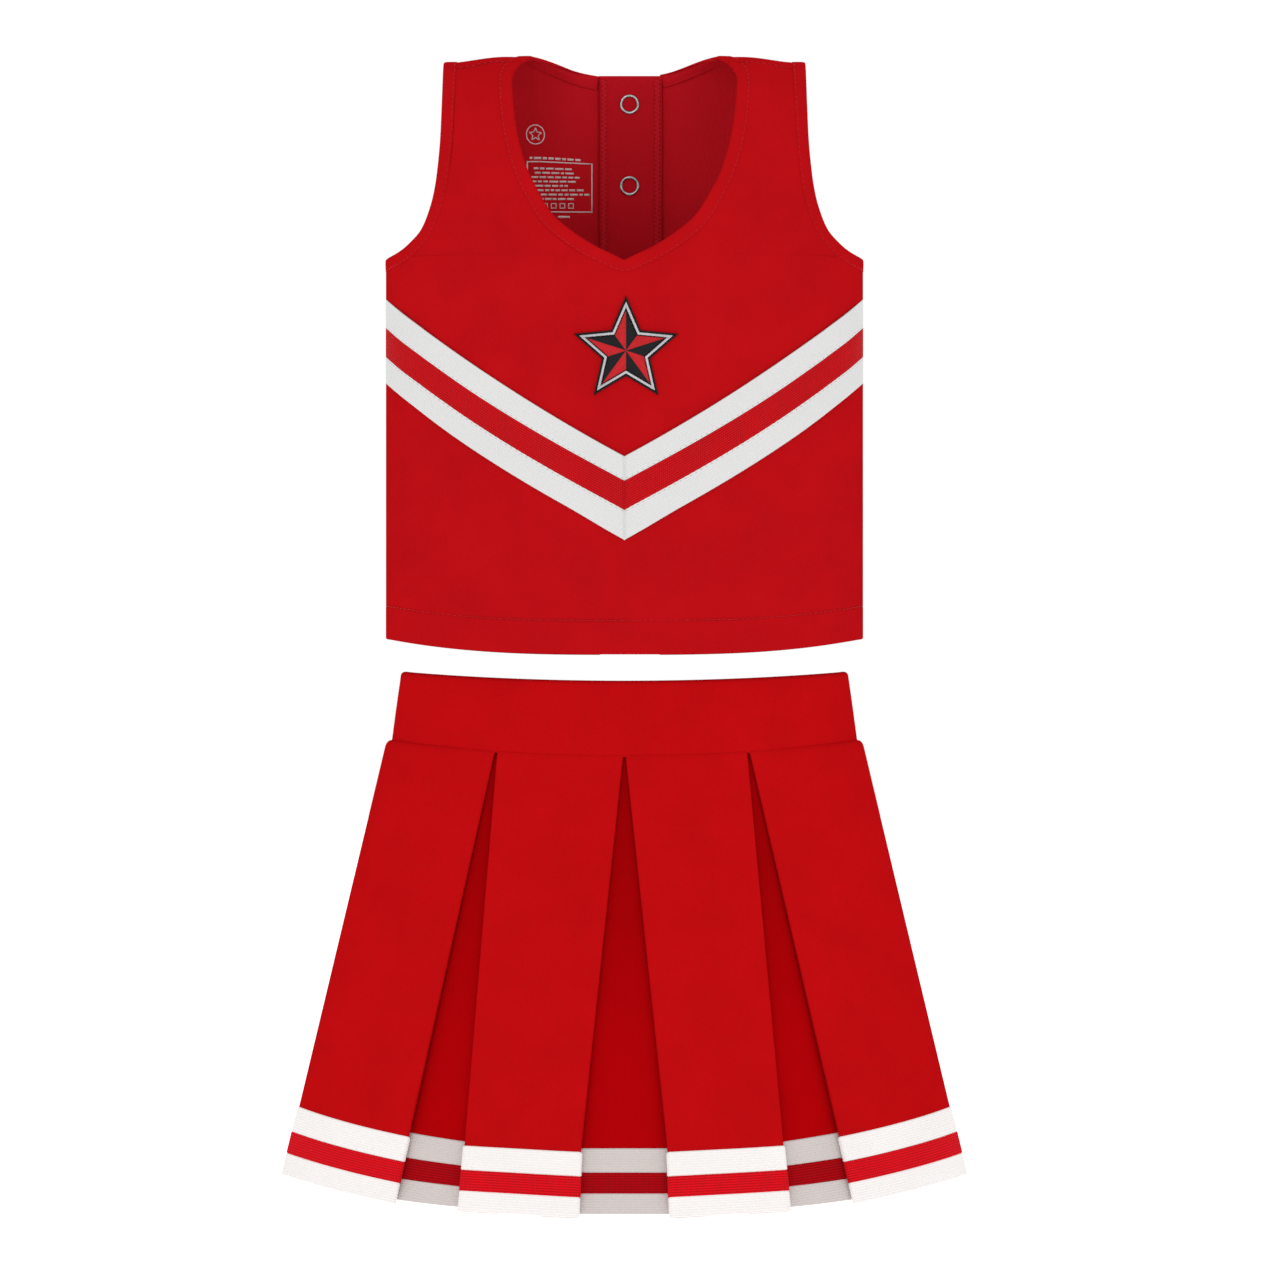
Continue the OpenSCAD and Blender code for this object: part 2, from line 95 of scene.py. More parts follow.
def th_of(x):
    return np.degrees(np.arcsin(spow(np.clip(x / W, -1, 1), PL / 2)))


def hem_at(x):
    return HZ - DIP * (1 - np.minimum(1, np.abs(x) / W) ** 3)


def strap_z(x):
    return STRAP - 3 * smooth(58, 90, np.abs(x))


def front_pt(th, r, d=0.0):
    th, r = np.broadcast_arrays(np.asarray(th, float), np.asarray(r, float))
    x = (W - d) * spow(sind(th), 2 / PL)
    b = np.where(r < 0, CF + (HF - CF) * -r, CF) - d
    c = spow(cosd(th), 2 / PL)
    y = np.where(r < 0, -b * c, -b * c * cosd(90 * r))
    z = np.where(r < 0, CZ + (hem_at(x) - CZ) * -r, CZ + (strap_z(x) - CZ - d) * sind(90 * r))
    return np.stack([x, y, z], -1)


def back_pt(th, r, d=0.0):
    th, r = np.broadcast_arrays(np.asarray(th, float), np.asarray(r, float))
    x = (W - d) * spow(sind(th), 2 / PL)
    c = spow(cosd(th), 2 / PL)
    m = smooth(8, 46, np.abs(x))
    f = np.sqrt(1 - m * m)
    top = (1 - m) * BNZ + m * (strap_z(x) - d)
    z = np.where(r < 0, ARCH + (hem_at(x) - ARCH) * -r, ARCH + (top - ARCH) * sind(90 * r))
    y = (BNY + (BNZ - z) * LEAN - d) * c * np.where(r < 0, 1, f + (1 - f) * cosd(90 * r))
    return np.stack([x, y, z], -1)


def front_z(r):
    return np.where(r < 0, CZ + (HZ - CZ) * -r, CZ + (strap_z(90) - CZ) * sind(90 * r))


def back_z(r):
    return np.where(r < 0, ARCH + (HZ - ARCH) * -r, ARCH + (strap_z(90) - ARCH) * sind(90 * r))


def back_r(z):
    z = np.asarray(z, float)
    return np.where(z < ARCH, -(ARCH - z) / (ARCH - HZ),
                    np.degrees(np.arcsin(np.clip((z - ARCH) / (strap_z(90) - ARCH), -1, 1))) / 90)


def x_out(z):
    return np.where(z <= CZ, W, ARM(z))


def x_in_back(z):
    """Nothing is cut from the back below its neck edge."""
    return 0.0 * z


def x_in(z):
    return np.where(z <= front_z(V_ROW), 0.0, NECK(z))


def unit(v):
    return v / np.maximum(np.linalg.norm(v, axis=-1, keepdims=True), 1e-12)


def normal(S, a, b):
    pa = S(a + 0.05, b) - S(a - 0.05, b)
    pb = S(a, b + 0.0008) - S(a, b - 0.0008)
    n = unit(np.cross(pa, pb))
    p = S(a, b)
    out = n[..., 0] * p[..., 0] + n[..., 1] * (p[..., 1] + 0.01) + n[..., 2] * np.maximum(p[..., 2] + 40, 0)
    return np.where(out[..., None] < 0, -n, n)


# ------------------------------------------------------------------ meshes
def build(name, verts, faces, uv=None, mats=(), midx=None, smooth_shade=True):
    """verts in millimetres; faces an (n, 4) array or a list of lists; uv one pair for each vertex, in metres."""
    me = bpy.data.meshes.new(name)
    v = np.asarray(verts, float) * 0.001
    me.from_pydata(v.tolist(), [], [list(map(int, f)) for f in faces])
    if uv is not None:
        lay = me.uv_layers.new(name="UVMap")
        li = np.empty(len(me.loops), np.int32)
        me.loops.foreach_get("vertex_index", li)
        lay.data.foreach_set("uv", np.asarray(uv, np.float32)[li].ravel())
    for m in mats:
        me.materials.append(m)
    if midx is not None:
        me.polygons.foreach_set("material_index", np.asarray(midx, np.int32))
    me.polygons.foreach_set("use_smooth", np.full(len(me.polygons), smooth_shade))
    me.validate()
    me.update()
    o = bpy.data.objects.new(name, me)
    bpy.context.scene.collection.objects.link(o)
    return o


def volume(v, f):
    f = np.asarray(f)
    a, b, c = v[f[:, 0]], v[f[:, 1]], v[f[:, 2]]
    s = np.einsum("ij,ij->i", a, np.cross(b, c)).sum()
    if f.shape[1] == 4:
        d = v[f[:, 3]]
        s += np.einsum("ij,ij->i", a, np.cross(c, d)).sum()
    return s


def grid_faces(nr, nc, off=0, wrap=False):
    j, i = np.meshgrid(np.arange(nr - 1), np.arange(nc if wrap else nc - 1), indexing="ij")
    i2 = (i + 1) % nc
    return np.stack([off + j * nc + i, off + j * nc + i2, off + (j + 1) * nc + i2, off + (j + 1) * nc + i], -1).reshape(-1, 4)


def arc(P, axis):
    d = np.linalg.norm(np.diff(P, axis=axis), axis=-1)
    z = np.zeros_like(np.take(d, [0], axis=axis))
    return np.concatenate([z, np.cumsum(d, axis=axis)], axis=axis)


def shell(name, O, I, mats, matfn=None, lining=False, steps=(30, 60, 90), grow=1.0, uvscale=1.0):
    """A closed sheet of cloth between the grids O and I, with round edges. Returns the object and what its flat size is."""
    M, H = (O + I) / 2, (O - I) / 2
    U, V = arc(M, 1), arc(M, 0)
    info = (U[:, -1].max() / 1000, V[-1].max() / 1000,
            (np.linalg.norm(np.cross(M[1:, 1:] - M[:-1, :-1], M[1:, :-1] - M[:-1, 1:]), axis=-1).sum() / 2) / 1e6)
    U = U - U[:, -1:] / 2
    for ax in (1, 0):
        t = 2 * np.linalg.norm(H, axis=-1).mean() / 2 * grow
        first = [np.take(M, 0, ax), np.take(M, 1, ax), np.take(H, 0, ax)]
        last = [np.take(M, -1, ax), np.take(M, -2, ax), np.take(H, -1, ax)]
        a = unit(first[0] - first[1]); b = unit(last[0] - last[1])
        pre = [(first[0] + a * t * math.sin(math.radians(s)), first[2] * math.cos(math.radians(s))) for s in steps][::-1]
        post = [(last[0] + b * t * math.sin(math.radians(s)), last[2] * math.cos(math.radians(s))) for s in steps]
        M = np.concatenate([np.stack([p[0] for p in pre], ax), M, np.stack([p[0] for p in post], ax)], ax)
        H = np.concatenate([np.stack([p[1] for p in pre], ax), H, np.stack([p[1] for p in post], ax)], ax)
        k = len(steps)
        pad = [(k, k), (0, 0)] if ax == 0 else [(0, 0), (k, k)]
        U, V = np.pad(U, pad, "edge"), np.pad(V, pad, "edge")
    nr, nc = M.shape[:2]
    top = (M + H).reshape(-1, 3)
    bot = (M - H).reshape(-1, 3)
    idx = np.arange(nr * nc).reshape(nr, nc)
    lower = np.full((nr, nc), -1)
    inner = np.zeros((nr, nc), bool)
    inner[1:-1, 1:-1] = True
    lower[inner] = nr * nc + np.arange(inner.sum())
    lower[~inner] = idx[~inner]
    verts = np.concatenate([top, bot.reshape(nr, nc, 3)[inner]])
    f1 = grid_faces(nr, nc)
    f2 = lower.ravel()[f1][:, ::-1]
    uv = np.stack([U, V], -1).reshape(-1, 2) * 0.001 * uvscale
    uvs = np.concatenate([uv, uv.reshape(nr, nc, 2)[inner]])
    faces = np.concatenate([f1, f2])
    if volume(verts, faces) < 0:
        faces = faces[:, ::-1]
    mi = np.repeat([0, 1], len(f1)) if lining else None
    if matfn is not None:
        k = len(steps)
        one = matfn(nr - 1, nc - 1, k)
        mi = np.concatenate([one.ravel(), one.ravel()])
    return build(name, verts, faces, uvs, mats, mi), info


def tube(name, rings, mats, closed_path=False, uv=None):
    """rings: (n, m, 3) closed sections along a path."""
    n, m = rings.shape[:2]
    v = rings.reshape(-1, 3)
    f = grid_faces(n, m, wrap=True)
    if closed_path:
        i = np.arange(m)
        f = np.concatenate([f, np.stack([(n - 1) * m + i, (n - 1) * m + (i + 1) % m, (i + 1) % m, i], -1)])
        vol = volume(v, f)
        fl = f.tolist()
    else:
        vol = volume(v, f)
        fl = f.tolist() + [list(range(m))[::-1], [(n - 1) * m + k for k in range(m)]]
    if vol < 0:
        fl = [x[::-1] for x in fl]
    if uv is None:
        L = np.concatenate([[0], np.cumsum(np.linalg.norm(np.diff(rings.mean(1), axis=0), axis=-1))])
        q = np.concatenate([[0], np.cumsum(np.linalg.norm(np.diff(rings[n // 2], axis=0), axis=-1))])
        uv = np.stack(np.broadcast_arrays(q[None, :], L[:, None]), -1).reshape(-1, 2) * 0.001
    return build(name, v, fl, uv, mats)


def resample(P, step, *more):
    d = np.concatenate([[0], np.cumsum(np.linalg.norm(np.diff(P, axis=0), axis=1))])
    n = max(2, int(round(d[-1] / step)) + 1)
    t = np.linspace(0, d[-1], n)
    out = [np.stack([np.interp(t, d, A[:, k]) for k in range(3)], -1) for A in (P, *more)]
    return (*out, t)


def stitches(name, lines, mat, length=2.1, gap=0.9, r=0.2, slant=None):
    """Short thread bars sunk at both ends; each line is (points, normals). slant=(width, side vectors) makes an overlock row."""
    V, F = [], []
    k = 6
    prof = [(-0.5, 0.25, -0.6), (-0.36, 0.9, 0.1), (0, 1.0, 0.5), (0.36, 0.9, 0.1), (0.5, 0.25, -0.6)]
    n0 = 0
    for line in lines:
        P, N = line[0], unit(line[1])
        pts, nn, t = resample(P, 0.5, N)
        T = unit(np.gradient(pts, axis=0))
        pos = np.arange(length / 2 + gap / 2, t[-1] - length / 2, length + gap)
        C = np.stack([np.interp(pos, t, pts[:, a]) for a in range(3)], -1)
        NN = unit(np.stack([np.interp(pos, t, nn[:, a]) for a in range(3)], -1))
        TT = unit(np.stack([np.interp(pos, t, T[:, a]) for a in range(3)], -1))
        S = unit(np.cross(NN, TT))
        if slant is not None:
            w = slant
            sg = np.where(np.arange(len(pos)) % 2 == 0, 1.0, -1.0)[:, None]
            D = unit(S * w + TT * (length + gap) * 0.9 * sg)
            L = np.full(len(pos), math.hypot(w, length + gap))
            S = unit(np.cross(NN, D))
            TT = D
        else:
            L = np.full(len(pos), length)
        rings = []
        for (a, s, h) in prof:
            c = C + TT * (L * a)[:, None] + NN * (h * r)
            ring = [c + (S * math.cos(2 * math.pi * q / k) + NN * math.sin(2 * math.pi * q / k)) * r * s for q in range(k)]
            rings.append(np.stack(ring, 1))
        R = np.stack(rings, 1)  # stitch, ring, k, 3
        m = R.shape[0]
        V.append(R.reshape(-1, 3))
        per = len(prof) * k
        base = grid_faces(len(prof), k, wrap=True)
        caps = [list(range(k))[::-1], [(len(prof) - 1) * k + q for q in range(k)]]
        for s in range(m):
            F.extend((base[:, ::-1] + n0 + s * per).tolist())
            F.extend([[c + n0 + s * per for c in cap[::-1]] for cap in caps])
        n0 += m * per
    return build(name, np.concatenate(V), F, None, [mat])


# ------------------------------------------------------------------ materials
def material(name):
    m = bpy.data.materials.new(name)
    m.use_nodes = True
    nt = m.node_tree
    for n in list(nt.nodes):
        nt.nodes.remove(n)
    out = nt.nodes.new("ShaderNodeOutputMaterial")
    b = nt.nodes.new("ShaderNodeBsdfPrincipled")
    nt.links.new(b.outputs[0], out.inputs[0])
    return m, nt, b


def node(nt, kind, **kw):
    n = nt.nodes.new(kind)
    for k, v in kw.items():
        if k.startswith("i_"):
            n.inputs[k[2:].replace("_", " ")].default_value = v
        else:
            setattr(n, k, v)
    return n


def wave(nt, src, pitch, axis="X", distortion=0.0, profile="SIN"):
    n = node(nt, "ShaderNodeTexWave", wave_type="BANDS", bands_direction=axis, wave_profile=profile)
    n.inputs["Scale"].default_value = 0.314159 / pitch
    n.inputs["Distortion"].default_value = distortion
    n.inputs["Detail"].default_value = 1.0
    n.inputs["Detail Scale"].default_value = 0.6
    nt.links.new(src, n.inputs["Vector"])
    return n.outputs["Fac"]


def noise(nt, src, scale, detail=3.0, rough=0.55):
    n = node(nt, "ShaderNodeTexNoise")
    n.inputs["Scale"].default_value = scale
    n.inputs["Detail"].default_value = detail
    n.inputs["Roughness"].default_value = rough
    nt.links.new(src, n.inputs["Vector"])
    return n.outputs["Fac"]


def maths(nt, op, a, b=None):
    n = node(nt, "ShaderNodeMath", operation=op)
    for i, v in enumerate((a, b)):
        if v is None:
            continue
        if isinstance(v, (int, float)):
            n.inputs[i].default_value = v
        else:
            nt.links.new(v, n.inputs[i])
    return n.outputs[0]


def ramp(nt, fac, lo, hi, a=0.3, b=0.7):
    n = node(nt, "ShaderNodeValToRGB")
    n.color_ramp.elements[0].position, n.color_ramp.elements[0].color = a, (*lo, 1)
    n.color_ramp.elements[1].position, n.color_ramp.elements[1].color = b, (*hi, 1)
    nt.links.new(fac, n.inputs[0])
    return n.outputs[0]


def cloth(name, rgb, pitch=(0.0009, 0.0007), uv=True, painted_shade_ramp=None, var=0.06, bump=0.35, depth=0.00012, rough=0.9, sheen=0.02, patch=38.0, uvmix=0.5, show=0.18, spec=0.05):
    m, nt, b = material(name)
    tc = node(nt, "ShaderNodeTexCoord")
    src = tc.outputs["UV"] if uv else tc.outputs["Object"]
    a = wave(nt, src, pitch[0], "X")
    c = wave(nt, src, pitch[1], "Y")
    weave = maths(nt, "ADD", maths(nt, "MULTIPLY", a, uvmix), maths(nt, "MULTIPLY", c, 1 - uvmix))
    big = noise(nt, tc.outputs["Object"], patch, 4.0, 0.6)
    fine = noise(nt, tc.outputs["Object"], 850.0, 2.0, 0.5)
    mix = maths(nt, "ADD", maths(nt, "MULTIPLY", big, 0.78 - show), maths(nt, "ADD", maths(nt, "MULTIPLY", fine, 0.22), maths(nt, "MULTIPLY", weave, show)))
    lo = tuple(max(0, x * (1 - var)) for x in rgb)
    hi = tuple(min(1, x * (1 + var)) for x in rgb)
    colour = ramp(nt, mix, lo, hi, 0.32, 0.68)
    if painted_shade_ramp:  # painted shade: darker higher up inside the fold, where the fold shades the cloth
        sp = node(nt, "ShaderNodeSeparateXYZ")
        nt.links.new(tc.outputs["Object"], sp.inputs[0])
        mr = node(nt, "ShaderNodeMapRange", interpolation_type="SMOOTHSTEP")
        for k, v in zip(("From Min", "From Max", "To Min", "To Max"), (painted_shade_ramp[0], painted_shade_ramp[1], 1.0, painted_shade_ramp[2])):
            mr.inputs[k].default_value = v
        nt.links.new(sp.outputs["Z"], mr.inputs["Value"])
        vm = node(nt, "ShaderNodeVectorMath", operation="SCALE")
        nt.links.new(colour, vm.inputs[0])
        nt.links.new(mr.outputs[0], vm.inputs["Scale"])
        colour = vm.outputs[0]
    nt.links.new(colour, b.inputs["Base Color"])
    bp = node(nt, "ShaderNodeBump")
    bp.inputs["Strength"].default_value = bump
    bp.inputs["Distance"].default_value = depth
    nt.links.new(maths(nt, "ADD", weave, maths(nt, "MULTIPLY", fine, 0.8)), bp.inputs["Height"])
    nt.links.new(bp.outputs[0], b.inputs["Normal"])
    b.inputs["Roughness"].default_value = rough
    b.inputs["Specular IOR Level"].default_value = spec
    b.inputs["Sheen Weight"].default_value = sheen
    b.inputs["Sheen Roughness"].default_value = 0.45
    b.inputs["Sheen Tint"].default_value = (*[min(1, 0.4 + x) for x in rgb], 1)
    return m


M_TOP = cloth("top_knit", (0.384, 0.0040, 0.0062), var=0.09, spec=0.0, sheen=0.0)
# painted light: a lighter copy of the same knit for the inner faces, lifting the shade inside the top
M_INSIDE_PAINTED_LIGHT = cloth("knit_inside_painted_light", (0.432, 0.0072, 0.0130), var=0.05, spec=0.0, sheen=0.0)
M_FACING = cloth("facing_knit", (0.394, 0.0064, 0.0120), var=0.05, spec=0.0, sheen=0.0)
M_SKIRT = cloth("skirt_knit", (0.414, 0.0032, 0.0046), pitch=(0.0011, 0.0008), var=0.08, spec=0.0, sheen=0.0)
# painted shade: a darker copy of the skirt knit for the underlays, which lie in shade behind the pleat faces, and
# darker again towards the waist
M_UNDER_PAINTED_SHADE = cloth("underlay_knit_painted_shade", (0.350, 0.0009, 0.0022), pitch=(0.0011, 0.0008), painted_shade_ramp=(-0.52, -0.36, 0.76), var=0.05, spec=0.0, sheen=0.0)
RIB = {"pitch": (0.0011, 0.00125), "bump": 0.7, "depth": 0.00025}
M_WHITE = cloth("chevron_white_rib", (0.603, 0.603, 0.600), var=0.045, uvmix=0.22, show=0.5, **{**RIB, "bump": 0.35})
M_REDT = cloth("chevron_red_rib", (0.415, 0.0050, 0.0080), var=0.30, uvmix=0.35, show=0.6, **RIB)
M_HWHITE = cloth("hem_white_rib", (0.790, 0.758, 0.742), var=0.05, uvmix=0.22, show=0.4, **RIB)
M_HRED = cloth("hem_red_rib", (0.530, 0.0042, 0.0095), var=0.26, uvmix=0.35, show=0.6, **RIB)
# painted shade: darker copies of the hem tape's white and red for the underlays' tape, which lies in shade behind the
# pleat faces
M_UWHITE_PAINTED_SHADE = cloth("underlay_white_rib_painted_shade", (0.545, 0.496, 0.480), var=0.05, uvmix=0.22, show=0.4, spec=0.02, sheen=0.0, **{k: v for k, v in RIB.items()})
M_URED_PAINTED_SHADE = cloth("underlay_red_rib_painted_shade", (0.298, 0.0024, 0.0050), var=0.26, uvmix=0.35, show=0.6, spec=0.02, sheen=0.0, **{k: v for k, v in RIB.items()})
M_THREAD = cloth("red_thread", (0.42, 0.009, 0.014), pitch=(0.0004, 0.0004), uv=False, var=0.1, rough=0.6, sheen=0.2)
M_SERGE = cloth("serging_thread", (0.43, 0.012, 0.022), pitch=(0.0004, 0.0004), uv=False, var=0.1, rough=0.6, sheen=0.2)
M_ORANGE = cloth("tape_edge_thread", (0.62, 0.16, 0.05), pitch=(0.0004, 0.0004), uv=False, var=0.1, rough=0.6, sheen=0.2)
M_BLACK = cloth("black_thread", (0.006, 0.006, 0.0075), pitch=(0.00045, 0.004), var=0.5, bump=0.9, depth=0.00015, rough=0.5, sheen=0.04, uvmix=0.85, show=0.5, spec=0.15)
M_SILVER = cloth("white_thread", (0.56, 0.56, 0.58), pitch=(0.00045, 0.004), var=0.14, bump=0.9, depth=0.00015, rough=0.45, sheen=0.3, uvmix=0.85)
M_STARRED = cloth("red_star_thread", (0.46, 0.008, 0.013), pitch=(0.0006, 0.004), var=0.38, show=0.5, spec=0.15, bump=0.9, depth=0.00015, rough=0.45, sheen=0.08, uvmix=0.85)
M_PRINT = cloth("white_print", (0.62, 0.50, 0.50), pitch=(0.0006, 0.0006), var=0.12, bump=0.2, depth=0.00004, rough=0.7, sheen=0.0)
M_ELASTIC = cloth("elastic_weave", (0.75, 0.75, 0.73), pitch=(0.0014, 0.0012), uv=False, var=0.08, bump=0.6, depth=0.0003)


def metal(name, lo, hi):
    m, nt, b = material(name)
    tc = node(nt, "ShaderNodeTexCoord")
    n1 = noise(nt, tc.outputs["Object"], 900.0, 3.0, 0.6)
    nt.links.new(ramp(nt, n1, (lo, lo, lo * 1.02), (hi, hi, hi * 1.02), 0.3, 0.7), b.inputs["Base Color"])
    rr = node(nt, "ShaderNodeMapRange")
    rr.inputs["To Min"].default_value = 0.22
    rr.inputs["To Max"].default_value = 0.42
    nt.links.new(n1, rr.inputs["Value"])
    nt.links.new(rr.outputs[0], b.inputs["Roughness"])
    bp = node(nt, "ShaderNodeBump")
    bp.inputs["Strength"].default_value = 0.25
    bp.inputs["Distance"].default_value = 0.00005
    nt.links.new(n1, bp.inputs["Height"])
    nt.links.new(bp.outputs[0], b.inputs["Normal"])
    b.inputs["Metallic"].default_value = 1.0
    return m


M_METAL = metal("snap_nickel", 0.28, 0.52)


def add(o, body, *nodes, slot=None, sheet=None, held="hung", rests=(), with_pieces=()):
    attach(o, body)
    if nodes:
        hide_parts(*nodes)
    return o


# ------------------------------------------------------------------ body of the top
def soft(P, amp=0.35, seed=0.0):
    """Gentle in-and-out drape of hung cloth, fading at the edges."""
    x, z = P[..., 0], P[..., 2]
    w = (np.sin(x * 0.061 + seed) * np.sin(z * 0.037 + 1.3 * seed + x * 0.011)
         + 0.6 * np.sin(x * 0.113 - z * 0.021 + 2.1 * seed) + 0.4 * np.sin(z * 0.083 + x * 0.047 + seed))
    return amp * w


HEM_S = 16.0
r_hem = HEM_S / (CZ - HZ)


def front_rows():
    a = np.linspace(-1, -1 + r_hem - 0.008, 8)
    b = np.linspace(-1 + r_hem - 0.006, -1 + r_hem + 0.006, 9)
    c = np.concatenate([np.linspace(-1 + r_hem + 0.012, -0.79, 8), np.linspace(-0.785, -0.085, 118), np.linspace(-0.08, -0.03, 5)])
    d = np.array([V_ROW, V_ROW + 0.004, V_ROW + 0.009, 0.0])
    e = np.concatenate([np.linspace(0.003, 0.06, 16), np.linspace(0.068, 0.2, 14), np.linspace(0.215, 1, 44)])
    return np.concatenate([a, b, c, [-0.022], d, e])


def hem_relief(r, rh):
    """The folded hem is a hair thicker, with the stitch line sunk in."""
    return 0.28 * smooth(-1 + rh + 0.004, -1 + rh - 0.004, r) - 0.34 * np.exp(-((r - (-1 + rh)) / 0.0032) ** 2)


FR = front_rows()
NF = 64


def surf_y(x, z):
    """Depth of the front's surface below the chest."""
    b = CF + (HF - CF) * np.clip((CZ - z) / (CZ - hem_at(x)), 0, 1)
    return -b * (1 - np.minimum(0.99999, np.abs(x) / W) ** PL) ** (1 / PL)


def chev(x, k):
    """Top edge of stripe k, as it reads from the front."""
    a = np.abs(x)
    z = -198.5 + 0.545 * a + 0.00096 * a * a
    if k > 0:
        z = z - (12 + 2 * smooth(0, 85, a))
    if k > 1:
        z = z - 14.2
    if k > 2:
        z = z - (14.8 - smooth(0, 30, a) - 0.8 * smooth(85, 118, a))
    return z


def front_grid(s, d, sign=1.0):
    z = front_z(FR)
    a, b = th_of(x_in(z)), th_of(x_out(z) if s else x_out(z))
    t = np.linspace(0, 1, NF + 1)
    th = s * (a[:, None] + (b - a)[:, None] * t[None, :])
    P = front_pt(th, FR[:, None] + 0 * th, d)
    n = normal(lambda A, B: front_pt(A, B), th, FR[:, None] + 0 * th)
    rel = (hem_relief(FR, r_hem)[:, None] if sign > 0 else -0.9 * smooth(-1 + r_hem + 0.004, -1 + r_hem - 0.004, FR)[:, None] * 1.0)
    side = smooth(W, W - 12, np.abs(P[..., 0]))
    ya = surf_y(P[..., 0], np.minimum(P[..., 2], CZ))
    app = CAM[2] + (P[..., 2] - CAM[2]) * 3500.0 / (3500.0 + ya)
    pull = 0.0
    if sign > 0:
        up, dn = app - chev(P[..., 0], 0), chev(P[..., 0], 3) - app
        pull = -0.42 * (np.exp(-((up - 0.3) / 1.1) ** 2) + np.exp(-((dn - 0.3) / 1.1) ** 2)) * smooth(W, W - 6, np.abs(P[..., 0]))
    return P + n * (rel + soft(P, 0.22) * side + pull)[..., None]


def top_front():
    # left and right halves joined up the middle under the V
    L0, L1 = front_grid(-1, 0, 1)[:, ::-1], front_grid(-1, KNIT, -1)[:, ::-1]
    R0, R1 = front_grid(1, 0, 1), front_grid(1, KNIT, -1)
    jt = int(np.argmin(np.abs(FR - V_ROW)))
    # lower part, one sheet from side to side
    O = np.concatenate([L0, R0[:, 1:]], 1)
    I = np.concatenate([L1, R1[:, 1:]], 1)
    nr, nc = O.shape[:2]
    mid = NF
    verts = [O.reshape(-1, 3), I.reshape(-1, 3)]
    # extra column for the right half above the V
    up = np.arange(jt + 1, nr)
    exO, exI = R0[up, 0], R1[up, 0]
    n0 = 2 * nr * nc
    verts += [exO, exI]
    V = np.concatenate(verts)
    U = arc((O + I) / 2, 1)
    U = U - U[:, mid:mid + 1]
    Vv = arc((O + I) / 2, 0)
    uv = np.stack([U, Vv], -1).reshape(-1, 2)
    uvs = np.concatenate([uv, uv, np.stack([U[up, mid], Vv[up, mid]], -1), np.stack([U[up, mid], Vv[up, mid]], -1)]) * 0.001
    F = []

    def vid(j, i, layer, right):
        if right and i == mid and j > jt:
            return n0 + layer * len(up) + (j - jt - 1)
        return layer * nr * nc + j * nc + i
    for j in range(nr - 1):
        for i in range(nc - 1):
            right = i >= mid
            q = [vid(j, i, 0, right), vid(j, i + 1, 0, right), vid(j + 1, i + 1, 0, right), vid(j + 1, i, 0, right)]
            p = [vid(j, i, 1, right), vid(j, i + 1, 1, right), vid(j + 1, i + 1, 1, right), vid(j + 1, i, 1, right)]
            F.append(q)
            F.append(p[::-1])
    for i in range(nc - 1):
        right = i >= mid
        F.append([vid(0, i + 1, 0, right), vid(0, i, 0, right), vid(0, i, 1, right), vid(0, i + 1, 1, right)])
        F.append([vid(nr - 1, i, 0, right), vid(nr - 1, i + 1, 0, right), vid(nr - 1, i + 1, 1, right), vid(nr - 1, i, 1, right)])
    for j in range(nr - 1):
        F.append([vid(j, 0, 0, False), vid(j + 1, 0, 0, False), vid(j + 1, 0, 1, False), vid(j, 0, 1, False)])
        F.append([vid(j + 1, nc - 1, 0, True), vid(j, nc - 1, 0, True), vid(j, nc - 1, 1, True), vid(j + 1, nc - 1, 1, True)])
    for j in range(jt, nr - 1):
        F.append([vid(j + 1, mid, 0, False), vid(j, mid, 0, False), vid(j, mid, 1, False), vid(j + 1, mid, 1, False)])
        F.append([vid(j, mid, 0, True), vid(j + 1, mid, 0, True), vid(j + 1, mid, 1, True), vid(j, mid, 1, True)])
    F = np.array(F)
    if volume(V, F) < 0:
        F = F[:, ::-1]
    o = build("top_front", V, F, uvs, [M_TOP])
    M = (O + I) / 2
    # the halves apart, so that the neck's opening isn't counted as cloth
    area = sum(np.linalg.norm(np.cross(G[1:, 1:] - G[:-1, :-1], G[1:, :-1] - G[:-1, 1:]), axis=-1).sum() / 2
               for G in ((L0 + L1) / 2, (R0 + R1) / 2))
    bev = o.modifiers.new("edge", "BEVEL")
    bev.width, bev.segments, bev.limit_method, bev.angle_limit = 0.0004, 2, "ANGLE", math.radians(50)
    return o, (arc(M[:jt], 1)[:, -1].max() / 1000, arc(M, 0)[-1].max() / 1000, area / 1e6)


o, info = top_front()
TOP_FRONT = add(o, "top", "front_panel", "hem_fold", slot="body_knit", sheet=info, rests=("shoulder_tapes",))

PX, HP = 3.0, 15.0  # placket's middle and half width
r_hemb = HEM_S / (ARCH - HZ)


def back_half(s, x0):
    rows = np.concatenate([np.linspace(-1, -1 + r_hemb - 0.006, 8), np.linspace(-1 + r_hemb - 0.0045, -1 + r_hemb + 0.0045, 9),
                           np.linspace(-1 + r_hemb + 0.01, -0.19, 60), np.linspace(-0.185, -0.13, 24), np.linspace(-0.12, 1, 56)])
    z = back_z(rows)
    t = np.linspace(0, 1, 60)
    a, b = th_of(x0 + 0 * z), th_of(x_out(z))
    th = s * (a[:, None] + (b - a)[:, None] * t)
    R = rows[:, None] + 0 * th

    def g(d, sg):
        P = back_pt(th, R, d)
        n = normal(back_pt, th, np.minimum(R, 0.985))
        rel = hem_relief(rows, r_hemb)[:, None] if sg > 0 else -0.9 * smooth(-1 + r_hemb + 0.003, -1 + r_hemb - 0.003, rows)[:, None]
        side = smooth(W, W - 12, np.abs(P[..., 0])) * smooth(x0, x0 + 14, np.abs(P[..., 0]))
        return P + n * (rel + soft(P, 0.25, 1.7 * s) * side)[..., None]
    return g(0, 1), g(KNIT, -1)


